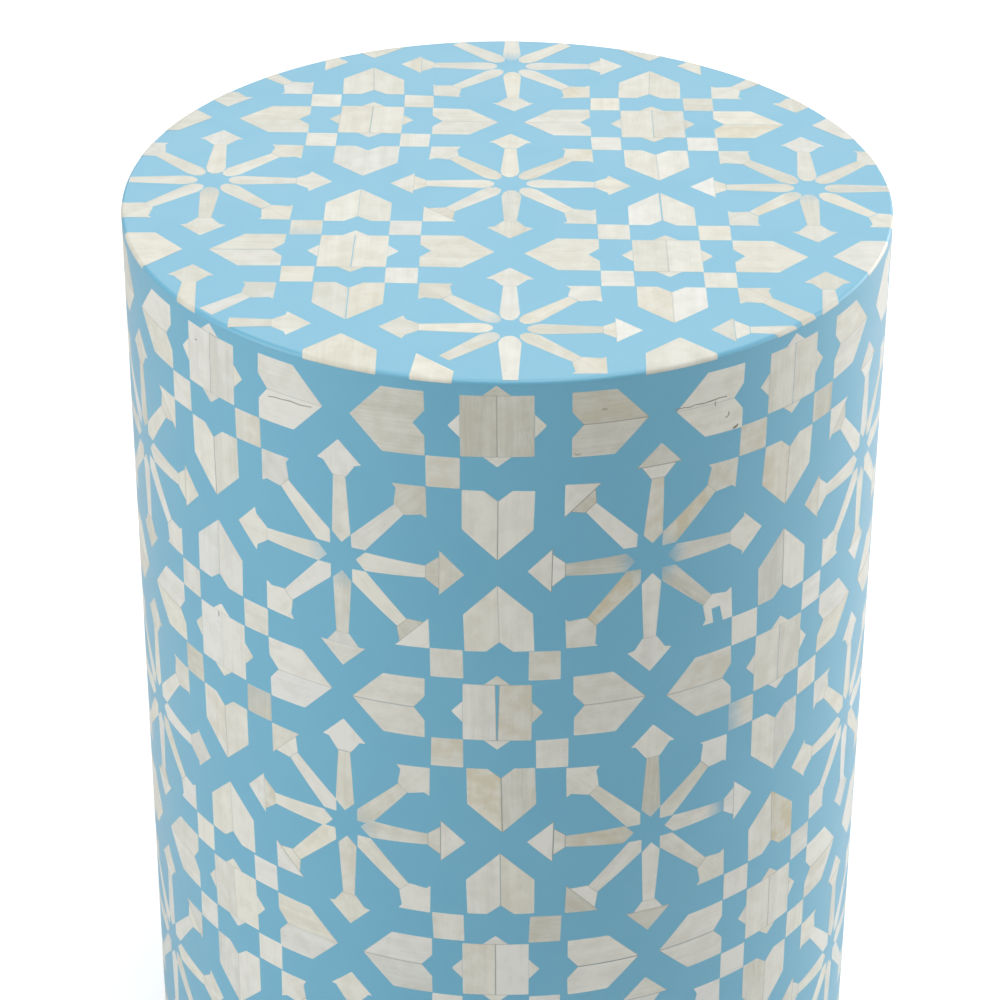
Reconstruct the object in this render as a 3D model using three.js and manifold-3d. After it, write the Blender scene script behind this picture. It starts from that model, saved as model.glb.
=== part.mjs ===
// Bone inlay drum stool: a straight round drum of bent plywood on a frame of boards, a rib and
// battens, coated with light blue resin and inlaid with bone slips in stars and rosettes.
// Millimetres, +Z up. The origin is on the floor, under the middle of the drum, and -Y is the front.

import * as THREE from 'three';
import { mergeVertices } from 'three/addons/utils/BufferGeometryUtils.js';
import Module from 'manifold-3d';

const wasm = await Module();
wasm.setup();

// Driving dimensions of the whole stool
const diameter = 335;
const height = 460;
const glideHeight = 5;

// The inlay: bone slips on a bed of poured resin
const slipStand = 1;          // how far a slip stands over its bed
const resinBed = 2;           // thickness of the resin under the slips
const rimRound = 1.6;         // rounding of the seat's edge
const wallBorder = 2;         // plain resin between the outermost points and the wall's ends
const weldStep = 0.001;       // slip corners closer than this are one corner

// The carcass
const plyThickness = 6;
const plySeam = 0.6;          // open butt joint where the bent sheet meets itself
const boardThickness = 18;
const ribThickness = 18;
const ribWidth = 45;
const battenWidth = 32;
const battenDepth = 22;

// Screws up through the base board into every second batten
const screwRadius = 2;
const screwHeadRadius = 4.2;
const screwHeadDepth = 2.4;
const screwLength = 38;
const screwPoint = 4;

// Nail-on glides
const glideRadius = 11;
const glideChamfer = 1;
const glideInset = 34;        // from the wall's inner face to a glide's middle
const nailRadius = 1.2;
const nailHeadRadius = 4;
const nailHeadDepth = 1.4;
const nailSink = 1;           // how far the head lies up inside the pad
const nailLength = 17;
const nailPoint = 3;

// Fits
const clearance = 0.3;
const bedGap = 0.1;           // between the resin and the lowest point of a slip's facets
const overrun = 2;            // how far a cutter runs past what it cuts

// Counts and angles
const roundSteps = 44;
const smallSteps = 8;
const wallRepeats = 8;
const battenCount = 8;
const glideCount = 4;
const wallTurn = THREE.MathUtils.degToRad(-0.9);

// Outlines of the slips, as shares of the pitch between two stars
const starShare = { side: 0.11, tip: 0.1556, foot: 0.0456 };
const squareShare = { near: starShare.side, far: 0.215 };
const shieldShare = { base: squareShare.far, half: starShare.side, notch: 0.248, shoulder: 0.35, tip: 0.455 };
const middleShare = 0.5;         // rosettes lie halfway between four stars
const arrowShare = {
  inner: 0.058, hub: 0.093, neck: 0.27, neckHalf: 0.018, barb: 0.325, barbHalf: 0.077,
  tip: (middleShare - squareShare.far) * Math.SQRT2,
};
const seatPitchShare = 0.9936;   // the seat's pitch as a share of the wall's
const seatMiddleShare = { across: 0.009, up: 0.059 }; // the middle rosette's place off the drum's axis
const bondShare = 0.0025;        // half the width of the corner that two touching slips share
const smallestSlipShare = 0.001; // a cut slip of less than this share of a pitch squared is not laid
const flatEarShare = 1e-9;       // an ear of less area than this is a straight stretch

// Sizes that follow
const radius = diameter / 2;
const quarter = Math.PI / 2;
const stepFit = Math.cos(Math.PI / roundSteps);
const repeatAngle = 2 * Math.PI / wallRepeats;
const hubTurn = quarter / 4;
const longestBackShare = arrowShare.neck - arrowShare.hub * Math.cos(hubTurn);
const slipBow = radius * (1 - Math.cos(longestBackShare * repeatAngle / 2));
const resinRadius = radius - slipStand - slipBow - bedGap;
const plyRadius = resinRadius - resinBed - clearance;
const plyInside = plyRadius - plyThickness;
const boardRadius = plyInside - clearance;
const seatTop = height - slipStand;
const resinUnderside = seatTop - resinBed;
const seatBoardUnderside = resinUnderside - boardThickness;
const baseTop = glideHeight + boardThickness;
const ribMiddle = (baseTop + seatBoardUnderside) / 2;
const battenFace = Math.sqrt((plyInside * stepFit - clearance) ** 2 - (battenWidth / 2) ** 2);
const battenMiddle = battenFace - battenDepth / 2;
const glideCircle = plyInside - glideInset;
const seatInlayRadius = resinRadius - rimRound;

// Rows of stars fill the wall from border to border
const wallPitch = repeatAngle * radius;
const seatPitch = seatPitchShare * wallPitch;
const wallRun = height - glideHeight - 2 * wallBorder;
const starRows = Math.max(2, Math.round(wallRun / wallPitch - 2 * starShare.tip) + 1);
const rowPitch = wallRun / (starRows - 1 + 2 * starShare.tip);
const lowestRow = glideHeight + wallBorder + starShare.tip * rowPitch;

function material(color, roughness, metalness) {
  return new THREE.MeshStandardMaterial({ color, roughness, metalness });
}

const materials = {
  resin: material('#7dbcd8', 0.28, 0),
  bone: material('#e2ded1', 0.42, 0),
  board: material('#a98a63', 0.85, 0),
  ply: material('#cfae7c', 0.8, 0),
  batten: material('#d9b98a', 0.78, 0),
  pad: material('#e6e4dc', 0.5, 0),
  steel: material('#b4b6b8', 0.35, 0.9),
};

const stool = new THREE.Group();

function add(name, geometry, finish) {
  const mesh = new THREE.Mesh(geometry, finish);
  mesh.name = name;
  stool.add(mesh);
  return mesh;
}

// Turned shapes: a profile of [radius, height] points, from the axis or closed on itself

function turned(profile, steps) {
  const points = profile.map(([across, up]) => new THREE.Vector2(across, up));
  return new THREE.LatheGeometry(points, steps).rotateX(quarter);
}

function disc(outer, low, high) {
  return turned([[0, low], [outer, low], [outer, high], [0, high]], roundSteps);
}

function ring(inner, outer, low, high) {
  return turned([[inner, low], [outer, low], [outer, high], [inner, high], [inner, low]], roundSteps);
}

// Cutting one closed shape with others

function solid(geometry) {
  const bare = geometry.clone();
  bare.deleteAttribute('normal');
  bare.deleteAttribute('uv');
  const merged = mergeVertices(bare);
  return new wasm.Manifold(new wasm.Mesh({
    numProp: 3,
    vertProperties: merged.attributes.position.array,
    triVerts: new Uint32Array(merged.index.array),
  }));
}

function cut(geometry, cutters) {
  const rest = cutters.reduce((body, cutter) => body.subtract(solid(cutter)), solid(geometry));
  const mesh = rest.getMesh();
  const result = new THREE.BufferGeometry();
  result.setAttribute('position', new THREE.BufferAttribute(mesh.vertProperties, 3));
  result.setIndex(new THREE.BufferAttribute(mesh.triVerts, 1));
  result.computeVertexNormals();
  return result;
}

// Places round the drum: angle 0 is the front, and angles grow towards +X

function aroundDrum(geometry, out, angle) {
  return geometry.translate(0, -out, 0).rotateZ(angle);
}

function anglesOf(count, start) {
  return Array.from({ length: count }, (_, index) => start + index * 2 * Math.PI / count);
}

const battenAngles = anglesOf(battenCount, 0);
const screwAngles = battenAngles.filter((_, index) => index % 2 === 1);
const glideAngles = anglesOf(glideCount, 0);

// The carcass

function battenBlock(width, depth, low, high) {
  return new THREE.BoxGeometry(width, depth, high - low).translate(0, 0, (high + low) / 2);
}

function screwShape() {
  return turned([
    [0, glideHeight],
    [screwHeadRadius, glideHeight],
    [screwRadius, glideHeight + screwHeadDepth],
    [screwRadius, glideHeight + screwLength - screwPoint],
    [0, glideHeight + screwLength],
  ], smallSteps);
}

function screwHole() {
  const deep = glideHeight + screwLength + clearance;
  return turned([
    [0, glideHeight - overrun],
    [screwHeadRadius + clearance, glideHeight - overrun],
    [screwHeadRadius + clearance, glideHeight],
    [screwRadius + clearance, glideHeight + screwHeadDepth],
    [screwRadius + clearance, deep],
    [0, deep],
  ], smallSteps);
}

function nailShape() {
  return turned([
    [0, nailSink],
    [nailHeadRadius, nailSink],
    [nailRadius, nailSink + nailHeadDepth],
    [nailRadius, nailSink + nailLength - nailPoint],
    [0, nailSink + nailLength],
  ], smallSteps);
}

function nailHole() {
  const deep = nailSink + nailLength + clearance;
  return turned([[0, 0], [nailRadius + clearance, 0], [nailRadius + clearance, deep], [0, deep]], smallSteps);
}

// A glide's pad, countersunk from below for the head of its nail
function padShape() {
  const headHole = nailHeadRadius + clearance;
  const shankHole = nailRadius + clearance;
  return turned([
    [headHole, 0],
    [glideRadius - glideChamfer, 0],
    [glideRadius, glideChamfer],
    [glideRadius, glideHeight],
    [shankHole, glideHeight],
    [shankHole, nailSink + nailHeadDepth + clearance],
    [headHole, nailSink],
    [headHole, 0],
  ], smallSteps);
}

function addBoards() {
  const screwHoles = screwAngles.map((angle) => aroundDrum(screwHole(), battenMiddle, angle));
  const nailHoles = glideAngles.map((angle) => aroundDrum(nailHole(), glideCircle, angle));
  add('seat_board', disc(boardRadius, seatBoardUnderside, resinUnderside), materials.board);
  const base = disc(boardRadius, glideHeight, baseTop);
  add('base_board', cut(base, [...screwHoles, ...nailHoles]), materials.board);
}

function addMiddleRib() {
  const low = ribMiddle - ribThickness / 2;
  const high = ribMiddle + ribThickness / 2;
  const notchDepth = battenDepth + clearance + overrun;
  const notchMiddle = battenMiddle + (overrun - clearance) / 2;
  const notches = battenAngles.map((angle) => {
    const notch = battenBlock(battenWidth + 2 * clearance, notchDepth, low - overrun, high + overrun);
    return aroundDrum(notch, notchMiddle, angle);
  });
  add('middle_rib', cut(ring(boardRadius - ribWidth, boardRadius, low, high), notches), materials.board);
}

function addBattens() {
  battenAngles.forEach((angle, index) => {
    const block = battenBlock(battenWidth, battenDepth, baseTop + clearance, seatBoardUnderside - clearance);
    const drilled = screwAngles.includes(angle) ? cut(block, [screwHole()]) : block;
    add(`batten_${index + 1}`, aroundDrum(drilled, battenMiddle, angle), materials.batten);
  });
}

function addPlyWall() {
  const sheet = ring(plyInside, plyRadius, glideHeight, resinUnderside);
  const seamDepth = plyThickness + 2 * overrun;
  const seam = battenBlock(plySeam, seamDepth, glideHeight - overrun, resinUnderside + overrun);
  add('ply_wall', cut(sheet, [aroundDrum(seam, plyInside + plyThickness / 2, Math.PI)]), materials.ply);
}

function addFasteners() {
  screwAngles.forEach((angle, index) => {
    add(`base_screw_${index + 1}`, aroundDrum(screwShape(), battenMiddle, angle), materials.steel);
  });
  glideAngles.forEach((angle, index) => {
    add(`glide_pad_${index + 1}`, aroundDrum(padShape(), glideCircle, angle), materials.pad);
    add(`glide_nail_${index + 1}`, aroundDrum(nailShape(), glideCircle, angle), materials.steel);
  });
}

// The poured resin

function addResin() {
  const corner = rimRound * (1 - Math.SQRT1_2);
  add('seat_resin', turned([
    [0, resinUnderside],
    [resinRadius, resinUnderside],
    [resinRadius, seatTop - rimRound],
    [resinRadius - corner, seatTop - corner],
    [resinRadius - rimRound, seatTop],
    [0, seatTop],
  ], roundSteps), materials.resin);
  add('wall_resin', ring(resinRadius - resinBed, resinRadius, glideHeight, resinUnderside), materials.resin);
}

// Bone slips. A slip is a loop of stations, anticlockwise seen from outside. A station has a place
// on the face (at) and the place below it on the glued side (under), both in pitches. Where two
// slips touch, each has the same bond: two stations over one shared place. The back is drawn in
// under points and barbs, except on a slip that lies across the curve of the wall, whose back is
// bent to follow it.

function turnedBy([across, up], angle) {
  const sine = Math.sin(angle);
  const cosine = Math.cos(angle);
  return [cosine * across - sine * up, sine * across + cosine * up];
}

function station(at, under = at) {
  return { at, under, bonded: false };
}

function bond(corner, outward) {
  const [across, up] = turnedBy([0, bondShare], outward);
  return [-1, 1].map((side) => ({
    at: [corner[0] + side * across, corner[1] + side * up],
    under: corner,
    bonded: true,
  }));
}

function moved(slip, angle, centre) {
  const place = (point) => {
    const [across, up] = turnedBy(point, angle);
    return [across + centre[0], up + centre[1]];
  };
  return slip.map((each) => ({ ...each, at: place(each.at), under: place(each.under) }));
}

function starSlip() {
  const { side, tip, foot } = starShare;
  const oneSide = [
    ...bond([side, -side], -quarter / 2),
    station([side, -foot], [side, 0]),
    station([tip, 0], [side, 0]),
    station([side, foot], [side, 0]),
  ];
  return [0, 1, 2, 3].flatMap((turn) => moved(oneSide, turn * quarter, [0, 0]));
}

function squareSlip() {
  const { near, far } = squareShare;
  return [
    ...bond([near, near], -1.5 * quarter),
    ...bond([far, near], -0.5 * quarter),
    ...bond([far, far], 0.5 * quarter),
    ...bond([near, far], 1.5 * quarter),
  ];
}

function shieldSlip(bent) {
  const { base, half, notch, shoulder, tip } = shieldShare;
  const below = (place) => (bent ? place : [tip, 0]);
  return [
    ...bond([base, -half], -1.5 * quarter),
    station([shoulder, -half], below([shoulder, -half])),
    station([tip, 0]),
    station([shoulder, half], below([shoulder, half])),
    ...bond([base, half], 1.5 * quarter),
    station([notch, 0]),
  ];
}

function arrowSlip(tipBonded, bent) {
  const { inner, hub, neck, neckHalf, barb, barbHalf, tip } = arrowShare;
  const right = turnedBy([hub, 0], -hubTurn);
  const left = turnedBy([hub, 0], hubTurn);
  return [
    station([inner, 0], right),
    ...bond(right, -hubTurn - quarter),
    station([neck, -neckHalf], bent ? [neck, -neckHalf] : right),
    station([barb, -barbHalf], [tip, 0]),
    ...(tipBonded ? bond([tip, 0], 0) : [station([tip, 0])]),
    station([barb, barbHalf], [tip, 0]),
    station([neck, neckHalf], bent ? [neck, neckHalf] : left),
    ...bond(left, hubTurn + quarter),
    station([inner, 0], left),
  ];
}

// One star with its four squares and four shields, and one rosette of eight arrows

function starGroup(centre, onCurve) {
  const turns = [0, 1, 2, 3];
  return [
    moved(starSlip(), 0, centre),
    ...turns.map((turn) => moved(squareSlip(), turn * quarter, centre)),
    ...turns.map((turn) => moved(shieldSlip(onCurve && turn % 2 === 0), turn * quarter, centre)),
  ];
}

function rosette(centre, onCurve) {
  return Array.from({ length: 8 }, (_, turn) => {
    const arrow = arrowSlip(turn % 2 === 1, onCurve && turn % 4 !== 2);
    return moved(arrow, turn * quarter / 2, centre);
  });
}

// Facets of a slip's face: ears are clipped in the order that keeps the cuts nearest to upright,
// so that on the round wall the facets lie close to the curve

function areaOf(a, b, c) {
  return ((b[0] - a[0]) * (c[1] - a[1]) - (c[0] - a[0]) * (b[1] - a[1])) / 2;
}

function facetsOf(loop) {
  const left = loop.map((_, index) => index);
  const facets = [];
  while (left.length > 3) {
    const ears = left.map((corner, place) => {
      const before = left[(place + left.length - 1) % left.length];
      const after = left[(place + 1) % left.length];
      return { place, facet: [before, corner, after], lean: Math.abs(loop[after][0] - loop[before][0]) };
    });
    const isOpen = ({ facet }) => {
      const [a, b, c] = facet.map((corner) => loop[corner]);
      const others = left.filter((corner) => !facet.includes(corner));
      return areaOf(a, b, c) > flatEarShare && !others.some((other) => within(loop[other], a, b, c));
    };
    const best = ears.sort((first, second) => first.lean - second.lean).find(isOpen);
    facets.push(best.facet);
    left.splice(best.place, 1);
  }
  facets.push(left);
  return facets;
}

function within(point, a, b, c) {
  return areaOf(a, b, point) >= 0 && areaOf(b, c, point) >= 0 && areaOf(c, a, point) >= 0;
}

function same(first, second) {
  return first[0] === second[0] && first[1] === second[1];
}

function distinct(points) {
  return points.filter((point, index) => !same(point, points[(index + points.length - 1) % points.length]));
}

// One slip as a closed body of facets, laid by place(point, depth)

function slipFacets(slip, place) {
  const faces = distinct(slip.map((each) => each.at));
  const backs = distinct(slip.map((each) => each.under));
  const facets = [
    ...facetsOf(faces).map((facet) => facet.map((corner) => place(faces[corner], 0))),
    ...facetsOf(backs).map((facet) => facet.reverse().map((corner) => place(backs[corner], slipStand))),
  ];
  slip.forEach((here, index) => {
    const next = slip[(index + 1) % slip.length];
    const top = place(next.at, 0);
    const below = place(here.under, slipStand);
    if (!same(here.at, next.at)) facets.push([top, place(here.at, 0), below]);
    if (!same(here.under, next.under)) facets.push([top, below, place(next.under, slipStand)]);
  });
  return facets;
}

// Slips that touch share the facet of their bond. It is left out of both, which joins them, and
// the facets that hang together after that are one body. The bodies come back largest first.

function joinedBodies(facets) {
  const ids = new Map();
  const points = [];
  const idOf = (point) => {
    const key = point.toArray().map((value) => Math.round(value / weldStep)).join();
    if (!ids.has(key)) ids.set(key, points.push(point) - 1);
    return ids.get(key);
  };
  const indexed = facets.map((facet) => facet.map(idOf));
  const nameOf = (facet) => [...facet].sort((a, b) => a - b).join();
  const counts = new Map();
  indexed.forEach((facet) => counts.set(nameOf(facet), (counts.get(nameOf(facet)) ?? 0) + 1));
  const kept = indexed.filter((facet) => counts.get(nameOf(facet)) === 1);

  const leaders = points.map((_, index) => index);
  const leaderOf = (index) => {
    while (leaders[index] !== index) index = leaders[index];
    return index;
  };
  kept.forEach(([a, b, c]) => {
    leaders[leaderOf(b)] = leaderOf(a);
    leaders[leaderOf(c)] = leaderOf(a);
  });
  const bodies = new Map();
  kept.forEach((facet) => {
    const leader = leaderOf(facet[0]);
    bodies.set(leader, [...(bodies.get(leader) ?? []), facet]);
  });
  return [...bodies.values()]
    .sort((first, second) => second.length - first.length)
    .map((body) => bodyGeometry(body.map((facet) => facet.map((corner) => points[corner]))));
}

function bodyGeometry(facets) {
  const bare = new THREE.BufferGeometry().setFromPoints(facets.flat());
  const merged = mergeVertices(bare, weldStep);
  merged.computeVertexNormals();
  return merged;
}

// The wall's inlay: rows of star groups right round, with rosettes between the rows. A slip that
// would reach past the plain border at either end of the wall is not laid.

function wallPlace([across, up], depth) {
  const angle = wallTurn + across * repeatAngle;
  const out = radius - depth;
  return new THREE.Vector3(out * Math.sin(angle), -out * Math.cos(angle), lowestRow + up * rowPitch);
}

function addWallInlay() {
  const low = glideHeight + wallBorder - weldStep;
  const high = height - wallBorder + weldStep;
  const slips = [];
  for (let row = 0; row < starRows; row += 1) {
    for (let repeat = 0; repeat < wallRepeats; repeat += 1) {
      slips.push(...starGroup([repeat, row], true));
      if (row < starRows - 1) slips.push(...rosette([repeat + middleShare, row + middleShare], true));
    }
  }
  const fits = (slip) => slip.every(({ at }) => {
    const { z } = wallPlace(at, 0);
    return z > low && z < high;
  });
  const bodies = joinedBodies(slips.filter(fits).flatMap((slip) => slipFacets(slip, wallPlace)));
  bodies.forEach((geometry, index) => {
    add(index ? `wall_edge_slip_${index}` : 'wall_inlay', geometry, materials.bone);
  });
}

// The seat's inlay: the same slips on a flat bed, cut straight across where the rim meets them

function seatPlace([across, up], depth) {
  const x = (seatMiddleShare.across + across) * seatPitch;
  const y = (seatMiddleShare.up + up) * seatPitch;
  return new THREE.Vector3(x, y, height - depth);
}

function isOffSeat({ at }) {
  return seatPlace(at, 0).setZ(0).length() > seatInlayRadius;
}

// The stretches of a slip's loop that lie on the seat, each from rim to rim
function stretchesOnSeat(slip) {
  const at = (index) => slip[index % slip.length];
  const entry = slip.findIndex((here, index) => isOffSeat(here) && !isOffSeat(at(index + 1)));
  const stretches = [];
  slip.forEach((_, step) => {
    const here = at(entry + step);
    const next = at(entry + step + 1);
    if (!isOffSeat(here)) stretches.at(-1).push(here.bonded ? here : station(here.at));
    if (isOffSeat(here) === isOffSeat(next)) return;
    const crossing = station(rimCrossing(here.at, next.at));
    if (isOffSeat(here)) stretches.push([crossing]);
    else stretches.at(-1).push(crossing);
  });
  return stretches;
}

// What is left of a slip on the seat. From the end of a stretch the cut goes on along the rim,
// anticlockwise, to the nearest start of a stretch.
function trimmedToSeat(slip) {
  if (!slip.some(isOffSeat)) return [slip];
  if (slip.every(isOffSeat)) return [];
  const left = stretchesOnSeat(slip);
  const turnTo = (from, to) => {
    const [start, end] = [from, to].map(({ at }) => seatPlace(at, 0));
    const turn = Math.atan2(end.y, end.x) - Math.atan2(start.y, start.x);
    return turn < 0 ? turn + 2 * Math.PI : turn;
  };
  const loops = [];
  while (left.length) {
    const loop = left.pop();
    for (;;) {
      const end = loop.at(-1);
      const nearest = left.filter((other) => turnTo(end, other[0]) < turnTo(end, loop[0]))
        .sort((a, b) => turnTo(end, a[0]) - turnTo(end, b[0]))[0];
      if (!nearest) break;
      loop.push(...left.splice(left.indexOf(nearest), 1)[0]);
    }
    loops.push(loop);
  }
  return loops;
}

function rimCrossing(from, to) {
  const start = seatPlace(from, 0).setZ(0);
  const step = seatPlace(to, 0).setZ(0).sub(start);
  const half = start.dot(step) / step.lengthSq();
  const rest = (start.lengthSq() - seatInlayRadius ** 2) / step.lengthSq();
  const root = Math.sqrt(half ** 2 - rest);
  const share = rest < 0 ? root - half : -root - half;
  return [from[0] + share * (to[0] - from[0]), from[1] + share * (to[1] - from[1])];
}

function slipArea(slip) {
  const nextOf = (index) => slip[(index + 1) % slip.length];
  return slip.reduce((sum, here, index) => sum + areaOf([0, 0], here.at, nextOf(index).at), 0);
}

function addSeatInlay() {
  const reach = Math.ceil(seatInlayRadius / seatPitch) + 1;
  const slips = [];
  for (let row = -reach; row <= reach; row += 1) {
    for (let column = -reach; column <= reach; column += 1) {
      slips.push(...rosette([column, row], false));
      slips.push(...starGroup([column + middleShare, row + middleShare], false));
    }
  }
  const laid = slips.flatMap(trimmedToSeat).filter((slip) => slipArea(slip) > smallestSlipShare);
  const bodies = joinedBodies(laid.flatMap((slip) => slipFacets(slip, seatPlace)));
  bodies.forEach((geometry, index) => {
    add(index ? `seat_edge_slip_${index}` : 'seat_inlay', geometry, materials.bone);
  });
}

addBoards();
addMiddleRib();
addBattens();
addPlyWall();
addFasteners();
addResin();
addWallInlay();
addSeatInlay();

export default stool;
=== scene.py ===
"""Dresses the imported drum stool: blue resin, bone inlay, carcass finishes, studio and camera.

The stool is a straight drum. Its seat and wall are poured light blue resin, sanded flush with
slips of bone in eight-pointed stars and rosettes of arrows. Lengths of the drum and its slips
are in millimetres here and become metres when a mesh is made.
"""

from __future__ import annotations

import logging
import math
import random
from dataclasses import dataclass, field, replace
from enum import Enum
from typing import Iterator

import bmesh
import bpy
from mathutils import Matrix, Vector

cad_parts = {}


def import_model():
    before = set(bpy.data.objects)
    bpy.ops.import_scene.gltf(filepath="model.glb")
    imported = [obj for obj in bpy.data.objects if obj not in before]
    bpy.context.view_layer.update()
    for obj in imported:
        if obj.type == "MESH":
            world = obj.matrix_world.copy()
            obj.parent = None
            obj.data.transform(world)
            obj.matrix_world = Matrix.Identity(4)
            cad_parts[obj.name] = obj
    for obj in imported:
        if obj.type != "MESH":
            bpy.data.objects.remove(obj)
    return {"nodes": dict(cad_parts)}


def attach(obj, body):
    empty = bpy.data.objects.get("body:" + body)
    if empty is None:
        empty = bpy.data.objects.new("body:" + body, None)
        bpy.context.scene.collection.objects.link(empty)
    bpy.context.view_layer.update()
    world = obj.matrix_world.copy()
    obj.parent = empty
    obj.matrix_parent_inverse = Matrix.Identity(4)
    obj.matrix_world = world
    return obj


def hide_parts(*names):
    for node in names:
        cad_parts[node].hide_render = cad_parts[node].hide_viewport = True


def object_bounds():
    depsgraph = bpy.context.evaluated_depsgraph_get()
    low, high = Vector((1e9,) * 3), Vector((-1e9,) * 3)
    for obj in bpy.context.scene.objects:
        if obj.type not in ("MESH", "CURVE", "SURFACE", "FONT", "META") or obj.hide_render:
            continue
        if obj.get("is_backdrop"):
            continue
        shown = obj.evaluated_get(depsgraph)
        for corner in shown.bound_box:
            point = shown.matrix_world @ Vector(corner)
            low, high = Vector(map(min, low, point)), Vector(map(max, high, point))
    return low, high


LOG = logging.getLogger("drum_stool")
MM = 0.001
QUARTER = math.pi / 2
BODY = "root"
SLIP_PLACE, SLIP_MAKE, SLIP_CAST = "slip_place", "slip_make", "slip_cast"

Point = tuple[float, float]
Colour = tuple[float, float, float, float]
Material = bpy.types.Material
Socket = bpy.types.NodeSocket


class Motif(Enum):
    """The kinds of slip. Each kind is one piece on the wall and one on the seat.

    A filled pit is a small fault of the bone, filled with dark glue.
    """

    STAR = "star_slips"
    POINT = "star_point_slips"
    SQUARE = "square_slips"
    SHIELD = "shield_slips"
    RAY = "ray_slips"
    HEAD = "arrowhead_slips"
    FILL = "filled_pits"


class Head(Enum):
    """The kinds of arrowhead.

    A whole one is one slip and a parted one two, with a cross seam. A chipped one has a chip
    broken out. A stump has a broad slip, cut by the rim, in place of its point.
    """

    WHOLE = "whole"
    PARTED = "parted"
    CHIPPED = "chipped"
    STUMP = "stump"


class Zone(Enum):
    """The parts of a slip's surface, which meet in sharp edges."""

    FACE = 0
    ARRIS = 1
    SIDE = 2
    BACK = 3


@dataclass(frozen=True)
class DrumSizes:
    """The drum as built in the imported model."""

    radius: float = 167.5
    height: float = 460.0
    glide_height: float = 5.0
    rim_round: float = 1.7
    foot_round: float = 0.8
    wall_bed_radius: float = 163.96
    seat_bed: float = 457.0
    wall_turn: float = math.radians(-0.9)
    wall_repeats: int = 8
    star_rows: int = 4
    wall_border: float = 2.0
    seat_pitch_share: float = 0.9936
    seat_middle: Point = (0.009, 0.059)
    face_drop: float = 0.03
    skin_drop: float = 0.12

    @property
    def wall_pitch(self) -> float:
        """Distance round the wall from one star to the next."""
        return 2 * math.pi * self.radius / self.wall_repeats

    def row_pitch(self, star_tip: float) -> float:
        """Distance from one row of stars to the next.

        Args:
            star_tip: How far a star reaches from its middle, in pitches.

        Returns:
            The distance in millimetres.
        """
        run = self.height - self.glide_height - 2 * self.wall_border
        return run / (self.star_rows - 1 + 2 * star_tip)

    @property
    def seat_pitch(self) -> float:
        """Distance from one rosette of the seat to the next."""
        return self.seat_pitch_share * self.wall_pitch


@dataclass(frozen=True)
class Bone:
    """How one slip of bone looks.

    tone runs from 0, white, to 1, grey, and warm from a cool white to cream. stain is yellow
    marrow stain. veil is how far the resin runs over the slip at its root, or with far_veil
    at its far end. ash is a green-grey cast with dark dashes. seam is how dark the line
    along its joints is.
    """

    tone: float = 0.35
    stain: float = 0.0
    veil: float = 0.0
    ash: float = 0.0
    seed: float = 0.0
    seam: float = 0.15
    warm: float = 0.5
    far_veil: bool = False


@dataclass(frozen=True)
class Slip:
    """One slip of bone, as an anticlockwise outline in pitches or millimetres.

    seams are the sides that meet another slip. The grain runs from root at an angle, and
    slips that are laid together turn about the same pivot. wear is the length that a worn
    corner takes from its sides.
    """

    motif: Motif
    outline: tuple[Point, ...]
    seams: frozenset[int] = frozenset()
    root: Point = (0.0, 0.0)
    grain: float = 0.0
    pivot: Point = (0.0, 0.0)
    wear: float = 0.0
    bone: Bone = field(default_factory=Bone)

    def free_corners(self) -> set[int]:
        """The corners that point outwards and don't end a seam: those that wear round."""
        free = set()
        for index, here in enumerate(self.outline):
            before, after = self.outline[index - 1], self.outline[(index + 1) % len(self.outline)]
            turn = (here[0] - before[0]) * (after[1] - here[1])
            turn -= (here[1] - before[1]) * (after[0] - here[0])
            least = LEAST_TURN * math.dist(before, here) * math.dist(here, after)
            if turn > least and not {index, (index - 1) % len(self.outline)} & self.seams:
                free.add(index)
        return free

    def moved(self, angle: float, centre: Point, scale: Point, layout: Layout) -> Slip:
        """The slip turned about the motif's middle, scaled and laid.

        Args:
            angle: Turn in radians, anticlockwise.
            centre: Place of the motif's middle, in pitches.
            scale: Millimetres to a pitch inside the motif, across and up.
            layout: Where the motifs come to lie.

        Returns:
            The slip with its outline in millimetres.
        """
        sine, cosine = math.sin(angle), math.cos(angle)

        def place(point: Point) -> Point:
            """Where a point of the motif comes to lie."""
            across = cosine * point[0] - sine * point[1]
            up = sine * point[0] + cosine * point[1]
            return layout.place(centre, (across * scale[0], up * scale[1]))

        return replace(
            self,
            outline=tuple(place(point) for point in self.outline),
            root=place(self.root),
            pivot=place(self.pivot),
            grain=self.grain + angle,
        )


@dataclass(frozen=True)
class Drift:
    """How far motifs laid by hand lie off their grid.

    Each place holds a motif's column and row, and how far it lies off in millimetres.
    Between the places the drift changes gradually, and far from them it fades.
    """

    places: tuple[tuple[Point, Point], ...] = ()
    fade: float = 0.3
    hold: float = 0.005

    def at(self, column: float, row: float) -> Point:
        """The drift at a place of the grid."""
        total, across, up = self.fade, 0.0, 0.0
        for place, off in self.places:
            weight = 1 / (math.dist(place, (column, row)) ** 4 + self.hold)
            total += weight
            across += weight * off[0]
            up += weight * off[1]
        return across / total, up / total


@dataclass(frozen=True)
class Layout:
    """Where the motifs of one side come to lie, in millimetres.

    pitch is the way from one motif to the next, and origin the place of motif (0, 0).
    """

    pitch: Point
    origin: Point
    drift: Drift

    def place(self, centre: Point, offset: Point) -> Point:
        """A place that is off a motif's middle.

        Args:
            centre: The motif's column and row.
            offset: The way from its middle, in millimetres.

        Returns:
            The place in millimetres.
        """
        column, row = (centre[axis] + offset[axis] / self.pitch[axis] for axis in (0, 1))
        drift = self.drift.at(column, row)
        across = column * self.pitch[0] + self.origin[0] + drift[0]
        return across, row * self.pitch[1] + self.origin[1] + drift[1]


def mirrored(outline: list[Point]) -> tuple[Point, ...]:
    """An outline on the other side of its axis, still anticlockwise."""
    return tuple((across, -up) for across, up in reversed(outline))


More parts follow.
